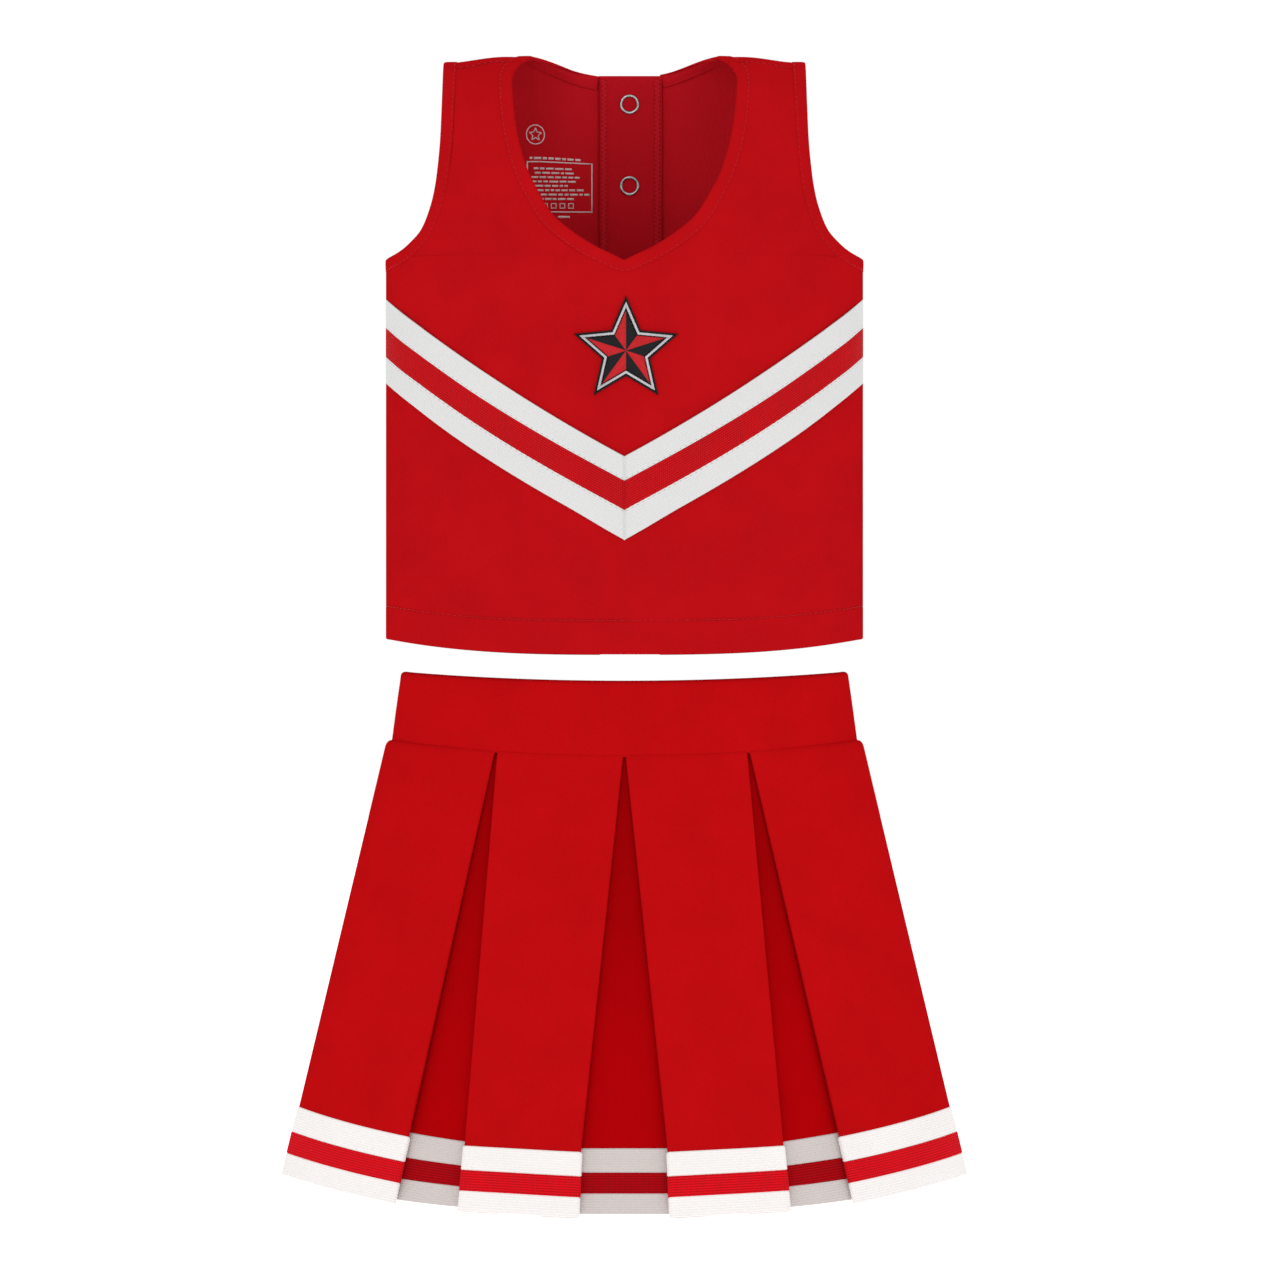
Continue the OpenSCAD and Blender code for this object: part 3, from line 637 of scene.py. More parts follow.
for nm, s, x0 in (("back_panel_left", 1, PX + HP + 0.6), ("back_panel_right", -1, HP - PX + 1.3)):
    O, I = back_half(s, x0)
    # the inner faces take the lighter copy of the knit, painted light
    o, info = shell("top_" + nm, O, I, [M_TOP, M_INSIDE_PAINTED_LIGHT], lining=True)
    add(o, "top", nm, slot="body_knit", sheet=info, rests=("shoulder_tapes",))


# ------------------------------------------------------------------ edges that are turned and topstitched
def walk(S, a, b, T, sign, dist, n=12):
    """Points and outward normals at n + 1 distances from an edge, measured in the cloth."""
    P, N, A = [], [], []
    a, b = a.copy(), b.copy()
    st = dist / n
    for k in range(n + 1):
        nn = normal(S, a, b)
        P.append(S(a, b)); N.append(nn)
        s = unit(np.cross(nn, T)) * sign
        pa = (S(a + 0.05, b) - S(a - 0.05, b)) / 0.1
        pb = (S(a, b + 0.0008) - S(a, b - 0.0008)) / 0.0016
        aa, bb, ab = (pa * pa).sum(-1), (pb * pb).sum(-1), (pa * pb).sum(-1)
        sa, sb = (pa * s).sum(-1), (pb * s).sum(-1)
        det = np.maximum(aa * bb - ab * ab, 1e-9)
        da, db = (sa * bb - sb * ab) / det, (sb * aa - sa * ab) / det
        mu = np.full(a.shape, st)
        for _ in range(8):  # the surface's own measure changes along the way, so the step is corrected to its true length
            d = np.linalg.norm(S(a + da * mu, b + db * mu) - P[-1], axis=-1)
            mu = mu * (st / np.maximum(d, 1e-6)) ** 0.6
        a, b = a + da * mu, b + db * mu
    return np.stack(P, 1), np.stack(N, 1)


def gauss(P, sig, closed=False):
    k = int(sig * 3) + 1
    w = np.exp(-0.5 * (np.arange(-k, k + 1) / sig) ** 2)
    w /= w.sum()
    Q = np.pad(P, [(k, k), (0, 0)], "wrap" if closed else "edge")
    if not closed:  # carry straight on past the ends
        for j in range(k):
            Q[k - 1 - j] = 2 * P[0] - P[min(j + 1, len(P) - 1)]
            Q[k + len(P) + j] = 2 * P[-1] - P[max(len(P) - 2 - j, 0)]
    return np.stack([np.convolve(Q[:, c], w, "valid") for c in range(P.shape[1])], -1)


BAND = 6.4
SECTION = [(6.7, -0.25), (6.55, 0.1), (6.35, 0.32), (6.05, 0.42), (5.85, 0.36), (5.6, 0.2), (5.35, 0.36), (5.1, 0.46), (3.6, 0.52), (1.8, 0.52),
           (0.9, 0.48), (0.2, 0.25), (-0.15, -0.2), (-0.3, -0.7), (-0.15, -1.25), (0.2, -1.7), (0.9, -1.8), (3.5, -1.75), (6.0, -1.6), (6.5, -1.45), (6.65, -1.2), (3.5, -0.6)]


def band(name, segs, closed, sgn, mat, body, nodes, slot):
    """segs: [(surface, a, b)], in order along the edge; the band folds over the edge."""
    Pe = np.concatenate([S(a, b) for S, a, b in segs])
    T = unit(gauss(np.gradient(Pe, axis=0), 2.0, closed))
    Ps, Ns = [], []
    k = 0
    for S, a, b in segs:
        n = len(a)
        p, nn = walk(S, a, b, T[k:k + n], sgn, 6.8, 17)
        Ps.append(p); Ns.append(nn)
        k += n
    P, N = np.concatenate(Ps), np.concatenate(Ns)
    for c in range(P.shape[1]):
        w = 0.6 + 1.6 * c / 17
        P[:, c] = gauss(P[:, c], w, closed)
        N[:, c] = unit(gauss(N[:, c], 2.0, closed))
    q = np.linspace(0, 6.8, 18)

    def at(qq, h):
        if qq <= 0:
            s = unit(P[:, 1] - P[:, 0])
            return P[:, 0] + s * qq + N[:, 0] * h
        i = min(int(qq / 0.4), 16)
        t = qq / 0.4 - i
        return P[:, i] * (1 - t) + P[:, i + 1] * t + unit(N[:, i] * (1 - t) + N[:, i + 1] * t) * h
    rings = np.stack([at(a, h) for a, h in SECTION], 1)
    o = tube(name, rings, [mat, M_INSIDE_PAINTED_LIGHT], closed)
    m = len(SECTION)
    for p in o.data.polygons:  # the side against the skin takes the lighter inside copy of the knit, painted light lifting the shade there
        if len(p.vertices) == 4 and min(k % m for k in p.vertices) >= 14:
            p.material_index = 1
    add(o, body, *nodes, slot=slot)
    line = at(5.6, 0.30)
    nrm = unit(N[:, 14])
    inner = at(5.6, -1.98)
    return line, nrm, inner


def even(S, a, b, step=1.1):
    """Spread parameter samples evenly along the edge."""
    P = S(a, b)
    d = np.concatenate([[0], np.cumsum(np.linalg.norm(np.diff(P, axis=0), axis=1))])
    n = max(3, int(d[-1] / step) + 1)
    t = np.linspace(0, d[-1], n)
    return np.interp(t, d, a), np.interp(t, d, b)


rr = np.concatenate([np.linspace(V_ROW, 0.1, 400), np.linspace(0.1, 1, 500)[1:]])
zz = front_z(rr)
nk_a, nk_r = th_of(x_in(zz)), rr  # from the V point up the left of the wearer
lft = even(front_pt, nk_a, nk_r)
xs = np.linspace(45.6, PX + HP + 0.2, 200)
bl = even(back_pt, th_of(xs), 1.0 - 0.02 * (1 - smooth(8, 46, xs)))
xs2 = np.linspace(HP - PX + 0.9, 45.6, 200)
br = even(back_pt, -th_of(xs2), 1.0 - 0.02 * (1 - smooth(8, 46, xs2)))
rgt = (-lft[0][::-1], lft[1][::-1])
segs = [(back_pt, br[0][:-1], br[1][:-1]), (front_pt, rgt[0], rgt[1]), (front_pt, lft[0][1:], lft[1][1:]), (back_pt, bl[0][1:], bl[1][1:])]
# which way the cloth lies: down from the back neck edge
Pe = np.concatenate([S(a, b) for S, a, b in segs])
T0 = Pe[1] - Pe[0]
n0 = normal(back_pt, segs[0][1][:1], segs[0][2][:1] - 0.01)[0]
NSIGN = 1.0 if np.cross(n0, T0)[2] < 0 else -1.0
neck_line = band("neck_band", segs, False, NSIGN, M_TOP, "top", ("neck_facing_front", "neck_facing_back"), "body_knit")

arm_lines = []
for s, nm in ((1, "left"), (-1, "right")):
    rf = np.concatenate([np.linspace(0.0, 0.12, 400), np.linspace(0.12, 1, 400)[1:]])
    af = th_of(x_out(front_z(rf) + 1e-6)) * s
    f = even(front_pt, af, rf)
    r_ua = back_r(-100.0)
    rb = np.concatenate([np.linspace(1, 0, 300), np.linspace(0, float(r_ua), 400)[1:]])
    ab = th_of(x_out(back_z(rb) + 1e-6)) * s
    b_ = even(back_pt, ab, rb)
    sg = [(front_pt, f[0], f[1]), (back_pt, b_[0][1:-1], b_[1][1:-1])]
    P0 = front_pt(f[0], f[1])
    k = len(P0) // 2
    T0, nn = P0[k + 1] - P0[k], normal(front_pt, f[0][k:k + 1], f[1][k:k + 1])[0]
    sgn = 1.0 if np.cross(nn, T0)[0] * s < 0 else -1.0
    arm_lines.append(band("armhole_band_" + nm, sg, True, sgn, M_TOP, "top", ("armhole_facings",) if s == 1 else (), "body_knit"))

# ------------------------------------------------------------------ seams and stitching of the top
lines = [(neck_line[0], neck_line[1])] + [(np.concatenate([a[0], a[0][:1]]), np.concatenate([a[1], a[1][:1]])) for a in arm_lines]
thf = np.linspace(-88.5, 88.5, 300)
rs = 0 * thf - 1 + r_hem
nf = normal(front_pt, thf, rs)
lines.append((front_pt(thf, rs) + nf * -0.02, nf))
for s, x0 in ((1, PX + HP + 4), (-1, HP - PX + 4)):
    t = s * np.linspace(float(th_of(x0)), 88.5, 150)
    rb = 0 * t - 1 + r_hemb
    nb = normal(back_pt, t, rb)
    lines.append((back_pt(t, rb) + nb * -0.02, nb))
seam_lines = []
for s in (1, -1):  # shoulder seams, a little to the front
    x = np.linspace(51.5, 89.5, 60) * s
    t, q = th_of(x), 0.842 + 0.012 * np.sin(np.abs(x) * 0.21) - 0.012 * np.exp(-((np.abs(x) - 57.5) / 1.6) ** 2)
    nn = normal(front_pt, t, q)
    over_band = 0.5 * smooth(59.5, 58.0, np.abs(x)) + 0.45 * smooth(83.5, 85.0, np.abs(x))
    seam_lines.append((front_pt(t, q) + nn * (0.02 + over_band)[:, None], nn))
    nn2 = normal(front_pt, t[8:-7], q[8:-7] - 0.016)
    lines.append((front_pt(t[8:-7], q[8:-7] - 0.016) + nn2 * 0.08, nn2))
o = stitches("top_stitching", lines, M_THREAD, 2.2, 0.8, 0.19)
add(o, "top", slot="body_knit")


def ridge(name, P, N, width, height, mat, body, nodes=(), slot="facing_knit"):
    """A low rounded rib of cloth along a line."""
    P, N, _ = resample(P, 1.5, N)
    N = unit(N)
    S = unit(np.cross(N, np.gradient(P, axis=0)))
    ring = []
    for k in range(10):
        a = 2 * math.pi * k / 10
        ring.append(P + S * (width / 2 * math.cos(a)) + N * (height * math.sin(a)))
    o = tube(name, np.stack(ring, 1), [mat])
    return add(o, body, *nodes, slot=slot)


for i, (P, N) in enumerate(seam_lines):
    ridge("shoulder_seam_%d" % (i + 1), P, N, 1.5, 0.42, M_TOP, "top", slot="body_knit")
for s, nm in ((1, "left"), (-1, "right")):  # the seam down each side
    z = np.linspace(HZ + 1.0, -105.5, 90)
    P = np.stack([0 * z + s * (W - 0.12), 0 * z + 0.55, z], -1)
    ridge("side_seam_line_" + nm, P, np.tile([s * 1.0, 0, 0], (len(z), 1)), 1.1, 0.42, M_TOP, "top", slot="body_knit")

# shoulder seam allowances, pressed inside, and the side seams' overlocked allowances
first = True
serge = []
for s, nm in ((1, "left"), (-1, "right")):
    x = np.linspace(62.5, 83.5, 24)
    rowsf, rowsb = np.linspace(0.86, 0.99, 6), np.linspace(0.99, 0.86, 6)
    t = s * th_of(x)

    def g(d):
        A = front_pt(t[None, :], rowsf[:, None] + 0 * t[None, :], d)
        B = back_pt(t[None, :], rowsb[:, None] + 0 * t[None, :], d)
        return np.concatenate([A, B], 0)
    o, info = shell("shoulder_tape_" + nm, g(KNIT + 0.1), g(KNIT + 0.9), [M_FACING])
    add(o, "top", *(("shoulder_tapes",) if first else ()), slot="facing_knit")
    z = np.linspace(HZ + HEM_S + 2, -104, 60)
    yy = np.linspace(-0.55, 0.55, 3)
    X = s * np.linspace(W - KNIT - 0.2, W - KNIT - 6.2, 8)
    zz_ = z[:, None] + 0 * X[None, :]
    A = np.stack([X[None, :] + 0 * zz_, -0.6 + 0.25 * np.sin(zz_ * 0.11) * (np.abs(X) < W - 4)[None, :], zz_], -1)
    B = A + np.array([0, 1.2, 0])
    o, info = shell("side_seam_" + nm, A, B, [M_FACING])
    add(o, "top", *(("side_seams",) if first else ()), slot="facing_knit")
    pl = np.stack([0 * z + s * (W - KNIT - 4.6), 0 * z - 0.75, z], -1)
    serge.append((pl, np.tile([0, -1.0, 0], (len(z), 1))))
    serge.append((pl * [1, -1, 1], np.tile([0, 1.0, 0], (len(z), 1))))
    first = False

# ------------------------------------------------------------------ chevron tapes
def flat_pt(x, z, h):
    """A point of the front at x, z, raised by h."""
    y = surf_y(x, z)
    e = 0.05
    gx = (surf_y(np.clip(x + e, -118.9, 118.9), z) - surf_y(np.clip(x - e, -118.9, 118.9), z)) / (2 * e)
    n = unit(np.stack([gx, -np.ones_like(y), 0 * y], -1))
    P = np.stack([x, y, z], -1)
    side = smooth(W, W - 12, np.abs(x))
    return P + n * (h + soft(P, 0.22) * side)[..., None] if np.ndim(h) else P + n * (h + (soft(P, 0.22) * side)[..., None])


def chevron(s, k):
    m = 40
    x = s * np.concatenate([[0, 0.2, 0.4, 0.65, 1.0, 1.5, 2.2], np.linspace(3.2, 100, 96), W * spow(sind(np.linspace(57.0, 88.4, 44)), 2 / PL)])
    x = x[np.argsort(np.abs(x))]
    t = np.linspace(0, 1, m)
    X = np.tile(x, (m, 1))
    ya = surf_y(x, -200.0 + 0.7 * np.abs(x))
    sc = 3500.0 / (3500.0 + ya)
    top, bot = chev(x, k), chev(x, k + 1)
    top, bot = CAM[2] + (top - CAM[2]) / sc, CAM[2] + (bot - CAM[2]) / sc
    inset = 0.0
    Z = (top - inset)[None, :] * (1 - t[:, None]) + (bot + inset)[None, :] * t[:, None]
    w = np.abs(top - bot).mean() * 0.87
    rib = 0.06 * np.cos(2 * np.pi * t * w / 1.25)
    crown = 0.18 * (1 - (2 * t - 1) ** 6) + (0.10 if k == 1 else 0.0)
    H = ((0.95 + crown + rib)[:, None] + 0 * X) * (1 - 0.72 * smooth(108, 118.5, np.abs(X)))
    mit = np.exp(-(np.abs(X) / 0.7) ** 2) * 0.75  # sunk at the mitre
    shift = s * 0.10 * (np.abs(X) < 100)
    O = flat_pt(X + shift, Z, H - mit)
    I = flat_pt(X + shift, Z, 0.02 + 0 * H)
    return O, I, X, Z


tape_edges, dashes = [], []
for s, side in ((1, "left"), (-1, "right")):
    for part, ks in (("white", (0, 2)), ("red", (1,))):
        for k in ks:
            O, I, X, Z = chevron(s, k)
            o, info = shell("chevron_%s_%s_%d" % (part, side, k + 1), O, I, [M_WHITE if part == "white" else M_REDT], steps=(35, 65, 90), grow=0.9)
            add(o, "top", *(("chevron_%s_%s" % (part, side),) if k < 2 else ()), slot=part + "_tape", sheet=info, held="stretched", rests=("front_panel",))
            if k == 1:
                tape_edges.append((O[-1] + unit(O[-1] - I[-1]) * -0.25 + np.array([0, 0, -0.25]), unit(O[-1] - I[-1])))
            if k == 2:
                dashes.append((O[3], unit(O[3] - I[3])))
            if k == 0:
                dashes.append((O[-4], unit(O[-4] - I[-4])))
o = stitches("chevron_edge_thread", tape_edges, M_ORANGE, 3.0, 0.15, 0.16)
add(o, "top", slot="red_tape")
M_DASH = cloth("grey_thread", (0.34, 0.33, 0.33), pitch=(0.0004, 0.0004), uv=False, var=0.1, rough=0.6)
o = stitches("chevron_topstitching", dashes, M_DASH, 0.9, 2.1, 0.12)
add(o, "top", slot="white_tape")

# ------------------------------------------------------------------ emblem: a plain five-point star, embroidered
EX, EZ = 0.8, -147.6


def star_rho(phi, R, q=0.46):
    """Distance to the star's outline in direction phi (degrees from straight up)."""
    a = np.mod(phi, 72.0)
    a = np.where(a > 36, 72 - a, a)
    # line from the tip (0, R) to the notch (36 degrees, qR)
    tx, tz, nx, nz = 0.0, R, q * R * math.sin(math.radians(36)), q * R * math.cos(math.radians(36))
    dx, dz = nx - tx, nz - tz
    s_, c_ = sind(a), cosd(a)
    return (tx * dz - tz * dx) / (s_ * dz - c_ * dx)


def star_layer(name, r0, r1, hfun, mats, nodes, slot, mi=None, nphi=200, nt=14, rnd=0.0, uvmode="col"):
    phi = np.sort(np.concatenate([np.arange(nphi) * 360.0 / nphi]))
    t = np.linspace(0, 1, nt)
    rho1 = star_rho(phi, r1)
    rho0 = star_rho(phi, r0) if r0 > 0 else rho1 * 0.0 + 0.02
    rho = rho0[None, :] + (rho1 - rho0)[None, :] * t[:, None]
    X = EX + rho * sind(phi)[None, :]
    Z = EZ + rho * cosd(phi)[None, :]
    H = hfun(t[:, None] + 0 * X, phi[None, :] + 0 * X)
    O = flat_pt(X, Z, H)
    I = flat_pt(X, Z, 0.03 + 0 * H)
    m, n = O.shape[:2]
    if r0 > 0:
        sec = np.concatenate([O, I[::-1]], 0)  # closed section
        v = sec.reshape(-1, 3)
        k = sec.shape[0]
        jj, ii = np.meshgrid(np.arange(k), np.arange(n), indexing="ij")
        f = np.stack([jj * n + ii, jj * n + (ii + 1) % n, ((jj + 1) % k) * n + (ii + 1) % n, ((jj + 1) % k) * n + ii], -1).reshape(-1, 4)
    else:
        sec = np.concatenate([O, I[::-1]], 0)
        v = sec.reshape(-1, 3)
        k = sec.shape[0]
        f = grid_faces(k, n, wrap=True)
    if volume(v, f) < 0:
        f = f[:, ::-1]
    per = np.concatenate([[0], np.cumsum(np.hypot(np.diff(X[-1]), np.diff(Z[-1])))])
    tip = np.round(phi / 72.0) * 72.0
    if uvmode == "col":
        u = np.tile(per, (m, 1)); w = rho * 1.0
    else:
        al = rho * cosd(phi - tip)[None, :]
        u = al; w = rho * sind(phi - tip)[None, :]
    uv = np.stack([u, w], -1)
    uv = np.concatenate([uv, uv[::-1]], 0).reshape(-1, 2) * 0.001
    midx = None
    if mi is not None:
        base = np.tile(mi((phi + 0.9) % 360), (k if r0 > 0 else k - 1, 1))
        midx = base.ravel()
    o = build(name, v, f, uv, mats, midx)
    if r0 == 0:  # close the pinholes in the middle
        import bmesh
        bm = bmesh.new(); bm.from_mesh(o.data)
        bmesh.ops.holes_fill(bm, edges=[e for e in bm.edges if e.is_boundary], sides=0)
        bm.to_mesh(o.data); bm.free()
    add(o, "top", *nodes, slot=slot)
    return o


def dome(h, base, p=2.6):
    return lambda t, phi: base + h * (1 - np.abs(2 * t - 1) ** p)


star_layer("emblem_base", 0, 27.0, lambda t, phi: 0.85 * (1 - smooth(0.955, 1.0, t) * 0.85), [M_BLACK], ("emblem_backing",), "black_thread", nt=26)
star_layer("emblem_edge", 24.6, 27.0, dome(0.45, 0.75), [M_BLACK], (), "black_thread", nt=9)
star_layer("emblem_inline", 21.2, 24.4, dome(0.55, 0.80), [M_SILVER], ("emblem_border",), "white_thread", nt=9)
star_layer("emblem_star", 0, 20.0, lambda t, phi: 1.1 + 1.5 * (1 - t) + 0.25 * (1 - smooth(0.9, 1.0, t)), [M_STARRED, M_BLACK], ("emblem_fill",), "red_thread",
           mi=lambda p: (np.mod(p, 72) < 36).astype(int), nt=20, uvmode="arm")

# ------------------------------------------------------------------ care print inside the back
ink_v, ink_f, ink_n = [], [], 0


def ink(xa, xb, z0, z1, nx=6, nz=2):
    global ink_n
    x = np.linspace(xa, xb, nx)
    z = np.linspace(z0, z1, nz) + 3.0
    T, R = np.meshgrid(-th_of(x), back_r(z), indexing="xy")

    def g(d):
        P = back_pt(T, R, d)
        side = smooth(W, W - 12, np.abs(P[..., 0])) * smooth(13.3, 27.3, np.abs(P[..., 0]))
        n = normal(back_pt, T, R)
        return P + n * (soft(P, 0.25, -1.7) * side)[..., None]
    O, I = g(KNIT + 0.02), g(KNIT + 0.14)
    v = np.concatenate([O.reshape(-1, 3), I.reshape(-1, 3)])
    k = nx * nz
    f1 = grid_faces(nz, nx)
    f = np.concatenate([f1, f1[:, ::-1] + k])
    border = [(j, i) for j, i in [(0, i) for i in range(nx)] + [(j, nx - 1) for j in range(1, nz)] + [(nz - 1, i) for i in range(nx - 2, -1, -1)] + [(j, 0) for j in range(nz - 2, 0, -1)]]
    b = [j * nx + i for j, i in border]
    side_f = [[b[q], b[(q + 1) % len(b)], b[(q + 1) % len(b)] + k, b[q] + k] for q in range(len(b))]
    f = f.tolist() + [x_[::-1] for x_ in side_f]
    vv = np.asarray(v)
    if volume(vv, np.array([x_ for x_ in f])) < 0:
        f = [x_[::-1] for x_ in f]
    ink_v.append(vv)
    ink_f.extend([[c + ink_n for c in x_] for x_ in f])
    ink_n += len(vv)


ink(16.4, 50, -51.9, -51.3); ink(16.4, 50, -76.4, -75.8)
ink(16.4, 17.0, -75.8, -51.9, 2, 6); ink(49.4, 50, -75.8, -51.9, 2, 6)
rng = np.random.default_rng(7)
for row, (a0, a1) in enumerate([(27, 47.5), (26, 47.5), (23, 47.5), (25, 47.5), (29, 47.5), (21, 47.5), (18, 47.5), (26, 47.5)]):
    z = -54.4 - row * 2.13
    x = a0
    while x < a1 - 1.0:  # plain bars where the lines of wording were
        L = float(rng.uniform(1.6, 4.6))
        ink(x, min(x + L, a1), z - 0.95, z, 3)
        x += L + 0.75
x = 22.5
while x < 48:
    L = float(rng.uniform(1.8, 4.2))
    ink(x, min(x + L, 48.5), -50.4, -49.3, 3)
    x += L + 0.8
ink(28, 34, -79.0, -78.0, 3)
for k in range(4):  # plain squares where the care symbols were
    xa = 26 + k * 4.4
    ink(xa, xa + 2.8, -72.2, -71.8, 3); ink(xa, xa + 2.8, -74.4, -74.0, 3)
    ink(xa, xa + 0.4, -74.0, -72.2, 2); ink(xa + 2.4, xa + 2.8, -74.0, -72.2, 2)


def ink_poly(pts, wdt):
    """A thin printed outline through points (x, z)."""
    n = len(pts)
    for i in range(n):
        (xa, za), (xb, zb) = pts[i], pts[(i + 1) % n]
        L = math.hypot(xb - xa, zb - za)
        ux, uz = (xb - xa) / L, (zb - za) / L
        px, pz = -uz * wdt / 2, ux * wdt / 2
        q = 4
        xs_ = np.array([[xa + (xb - xa) * k / q - px, xa + (xb - xa) * k / q + px] for k in range(q + 1)])
        zs_ = np.array([[za + (zb - za) * k / q - pz, za + (zb - za) * k / q + pz] for k in range(q + 1)])
        _ink_grid(xs_, zs_)


def _ink_grid(X, Z):
    global ink_n
    T, R = -th_of(X), back_r(Z + 3.0)

    def g(d):
        P = back_pt(T, R, d)
        side = smooth(13.3, 27.3, np.abs(P[..., 0]))
        return P + normal(back_pt, T, R) * (soft(P, 0.25, -1.7) * side)[..., None]
    O, I = g(KNIT + 0.02), g(KNIT + 0.14)
    nz, nx = X.shape
    v = np.concatenate([O.reshape(-1, 3), I.reshape(-1, 3)])
    k = nx * nz
    f1 = grid_faces(nz, nx)
    b = [i for i in range(nx)] + [j * nx + nx - 1 for j in range(1, nz)] + [(nz - 1) * nx + i for i in range(nx - 2, -1, -1)] + [j * nx for j in range(nz - 2, 0, -1)]
    f = f1.tolist() + (f1[:, ::-1] + k).tolist() + [[b[q], b[q] + k, b[(q + 1) % len(b)] + k, b[(q + 1) % len(b)]] for q in range(len(b))]
    if volume(v, np.array(f)) < 0:
        f = [x_[::-1] for x_ in f]
    ink_v.append(v)
    ink_f.extend([[c + ink_n for c in x_] for x_ in f])
    ink_n += len(v)


ink_poly([(45.5 + 4.6 * math.cos(math.radians(a)), -38.5 + 4.6 * math.sin(math.radians(a))) for a in range(0, 360, 15)], 0.5)
ink_poly([(45.5 + (3.2 if k % 2 == 0 else 1.45) * math.sin(math.radians(36 * k)), -38.5 + (3.2 if k % 2 == 0 else 1.45) * math.cos(math.radians(36 * k))) for k in range(10)], 0.45)
o = build("care_print", np.concatenate(ink_v), ink_f, None, [M_PRINT])
add(o, "top", "care_label", slot="white_print")

# ------------------------------------------------------------------ back placket
ALPHA = math.atan(LEAN)


def back_frame(x, y, l):
    """x across, y out of the back, l down from the neck."""
    return np.stack(np.broadcast_arrays(x + 0.0, BNY + y * math.cos(ALPHA) + l * math.sin(ALPHA), BNZ + y * math.sin(ALPHA) - l * math.cos(ALPHA)), -1)


def strip_sheet(name, x0, x1, y0, y1, l0, l1, mat, wave_amp=0.0, nx=28, nl=150, relief=None):
    X, L = np.meshgrid(np.linspace(x0, x1, nx), np.linspace(l0, l1, nl))
    rel = 0 * X
    if relief is not None:
        rel = relief(X, L)
    ww = wave_amp * np.sin(L * 0.045) * np.sin((X - x0) / (x1 - x0) * np.pi)
    O = back_frame(X, y1 + rel + ww, L)
    I = back_frame(X, y0 - rel * 0.4 + ww, L)
    return shell(name, O, I, [mat])


LEN = 290.8
groove = lambda c: (lambda X, L: -0.25 * sum(np.exp(-((X - q) / 0.45) ** 2) for q in c))
o, info = strip_sheet("placket_underlap_cloth", -11.9, 18.2, -3.75, -2.0, -0.2, LEN, M_FACING, nx=60, relief=groove((-8.6, 14.9)))
add(o, "top", "placket_underlap", slot="facing_knit", sheet=info, rests=("back_panel_left",))
o, info = strip_sheet("placket_flap_cloth", -12.2, 17.4, -0.55, 1.1, -0.4, LEN, M_TOP, nx=80, relief=groove((-9.6, 15.0)))
add(o, "placket", "placket_flap", slot="body_knit", sheet=info, rests=("back_panel_right",))

l = np.linspace(1, LEN - 1, 200)
inward = np.tile(back_frame(np.array([0.0]), np.array([-1.0]), np.array([0.0]))[0] - back_frame(np.array([0.0]), np.array([0.0]), np.array([0.0]))[0], (len(l), 1))
# overlocked edges seen inside the neck, one each side of the snaps
for x in (-10.5, 16.6):
    serge.append((back_frame(0 * l + x, 0 * l - 4.25, l), inward))
    P = back_frame(0 * l + x, 0 * l - 3.55, l)
    ridge("serged_edge_%s" % ("a" if x < 0 else "b"), P, inward, 3.0, 1.0, M_FACING, "top")
o = stitches("overlock_stitching", serge, M_SERGE, 0.75, 0.35, 0.25, slant=2.5)
add(o, "top", slot="facing_knit")
o = stitches("flap_stitching", [(back_frame(0 * l + x, 0 * l + 0.88, l), -inward) for x in (-9.6, 15.0)], M_THREAD, 2.2, 0.8, 0.19)
add(o, "placket", slot="body_knit")

# painted dark reflection: a darker copy of the nickel for the snaps' rolled rims
M_METAL_RIM_PAINTED_REFLECTION = metal("snap_nickel_rim_painted_reflection", 0.05, 0.13)


def rings(name, y0, sgn, body, node_name):
    """Seven ring snaps: a rounded bright face between rolled rims in a darker copy of the nickel, a painted dark
    reflection.
    """
    prof = [(3.62, -0.35), (3.58, 0.0), (3.6, 0.35), (3.72, 0.62), (3.95, 0.82), (4.3, 0.93), (4.6, 0.86), (4.85, 0.62), (4.97, 0.3), (4.98, 0.0), (4.9, -0.35)]
    n = 48
    V, F, MI = [], [], []
    for k in range(7):
        lz = 13 + 41.0 * k + (0.2, 0.3)[min(k, 1)] + (1.1 if k > 1 else 0.0)
        for (r, h) in prof:
            a = np.linspace(0, 2 * math.pi, n, endpoint=False)
            V.append(back_frame(2.5 + r * np.cos(a), 0 * a + y0 + sgn * h, lz + r * np.sin(a)))
        m = len(prof)
        base = k * m * n
        for j in range(m):
            j2 = (j + 1) % m
            for i in range(n):
                i2 = (i + 1) % n
                F.append([base + j * n + i, base + j * n + i2, base + j2 * n + i2, base + j2 * n + i])
                # the rims take the darker copy: painted dark reflection
                MI.append(0 if 3 <= j <= 6 else 1)
    V = np.concatenate(V)
    F = np.array(F)
    if volume(V, F) < 0:
        F = F[:, ::-1]
    o = build(name, V, F, None, [M_METAL, M_METAL_RIM_PAINTED_REFLECTION], MI)
    add(o, body, node_name, slot="snap_metal")


rings("ring_snaps_inside", -3.75, -1, "top", "snap_rings_inner")
rings("ring_snaps_outside", 1.1, 1, "placket", "snap_rings_outer")
for nm in ("snap_studs", "snap_sockets"):
    ob = bpy.data.objects[nm]
    for i in range(len(ob.material_slots)):
        ob.material_slots[i].material = M_METAL
ob = bpy.data.objects["waist_elastic"]
for i in range(len(ob.data.materials)):
    ob.material_slots[i].material = M_ELASTIC

# ------------------------------------------------------------------ skirt
WP, DP = 118.7, 50.4
SEAM, SDIP = -339.2, 7.0


def seam_z(x):
    return SEAM - SDIP * (1 - np.minimum(1, np.abs(x) / 118.0) ** 2)


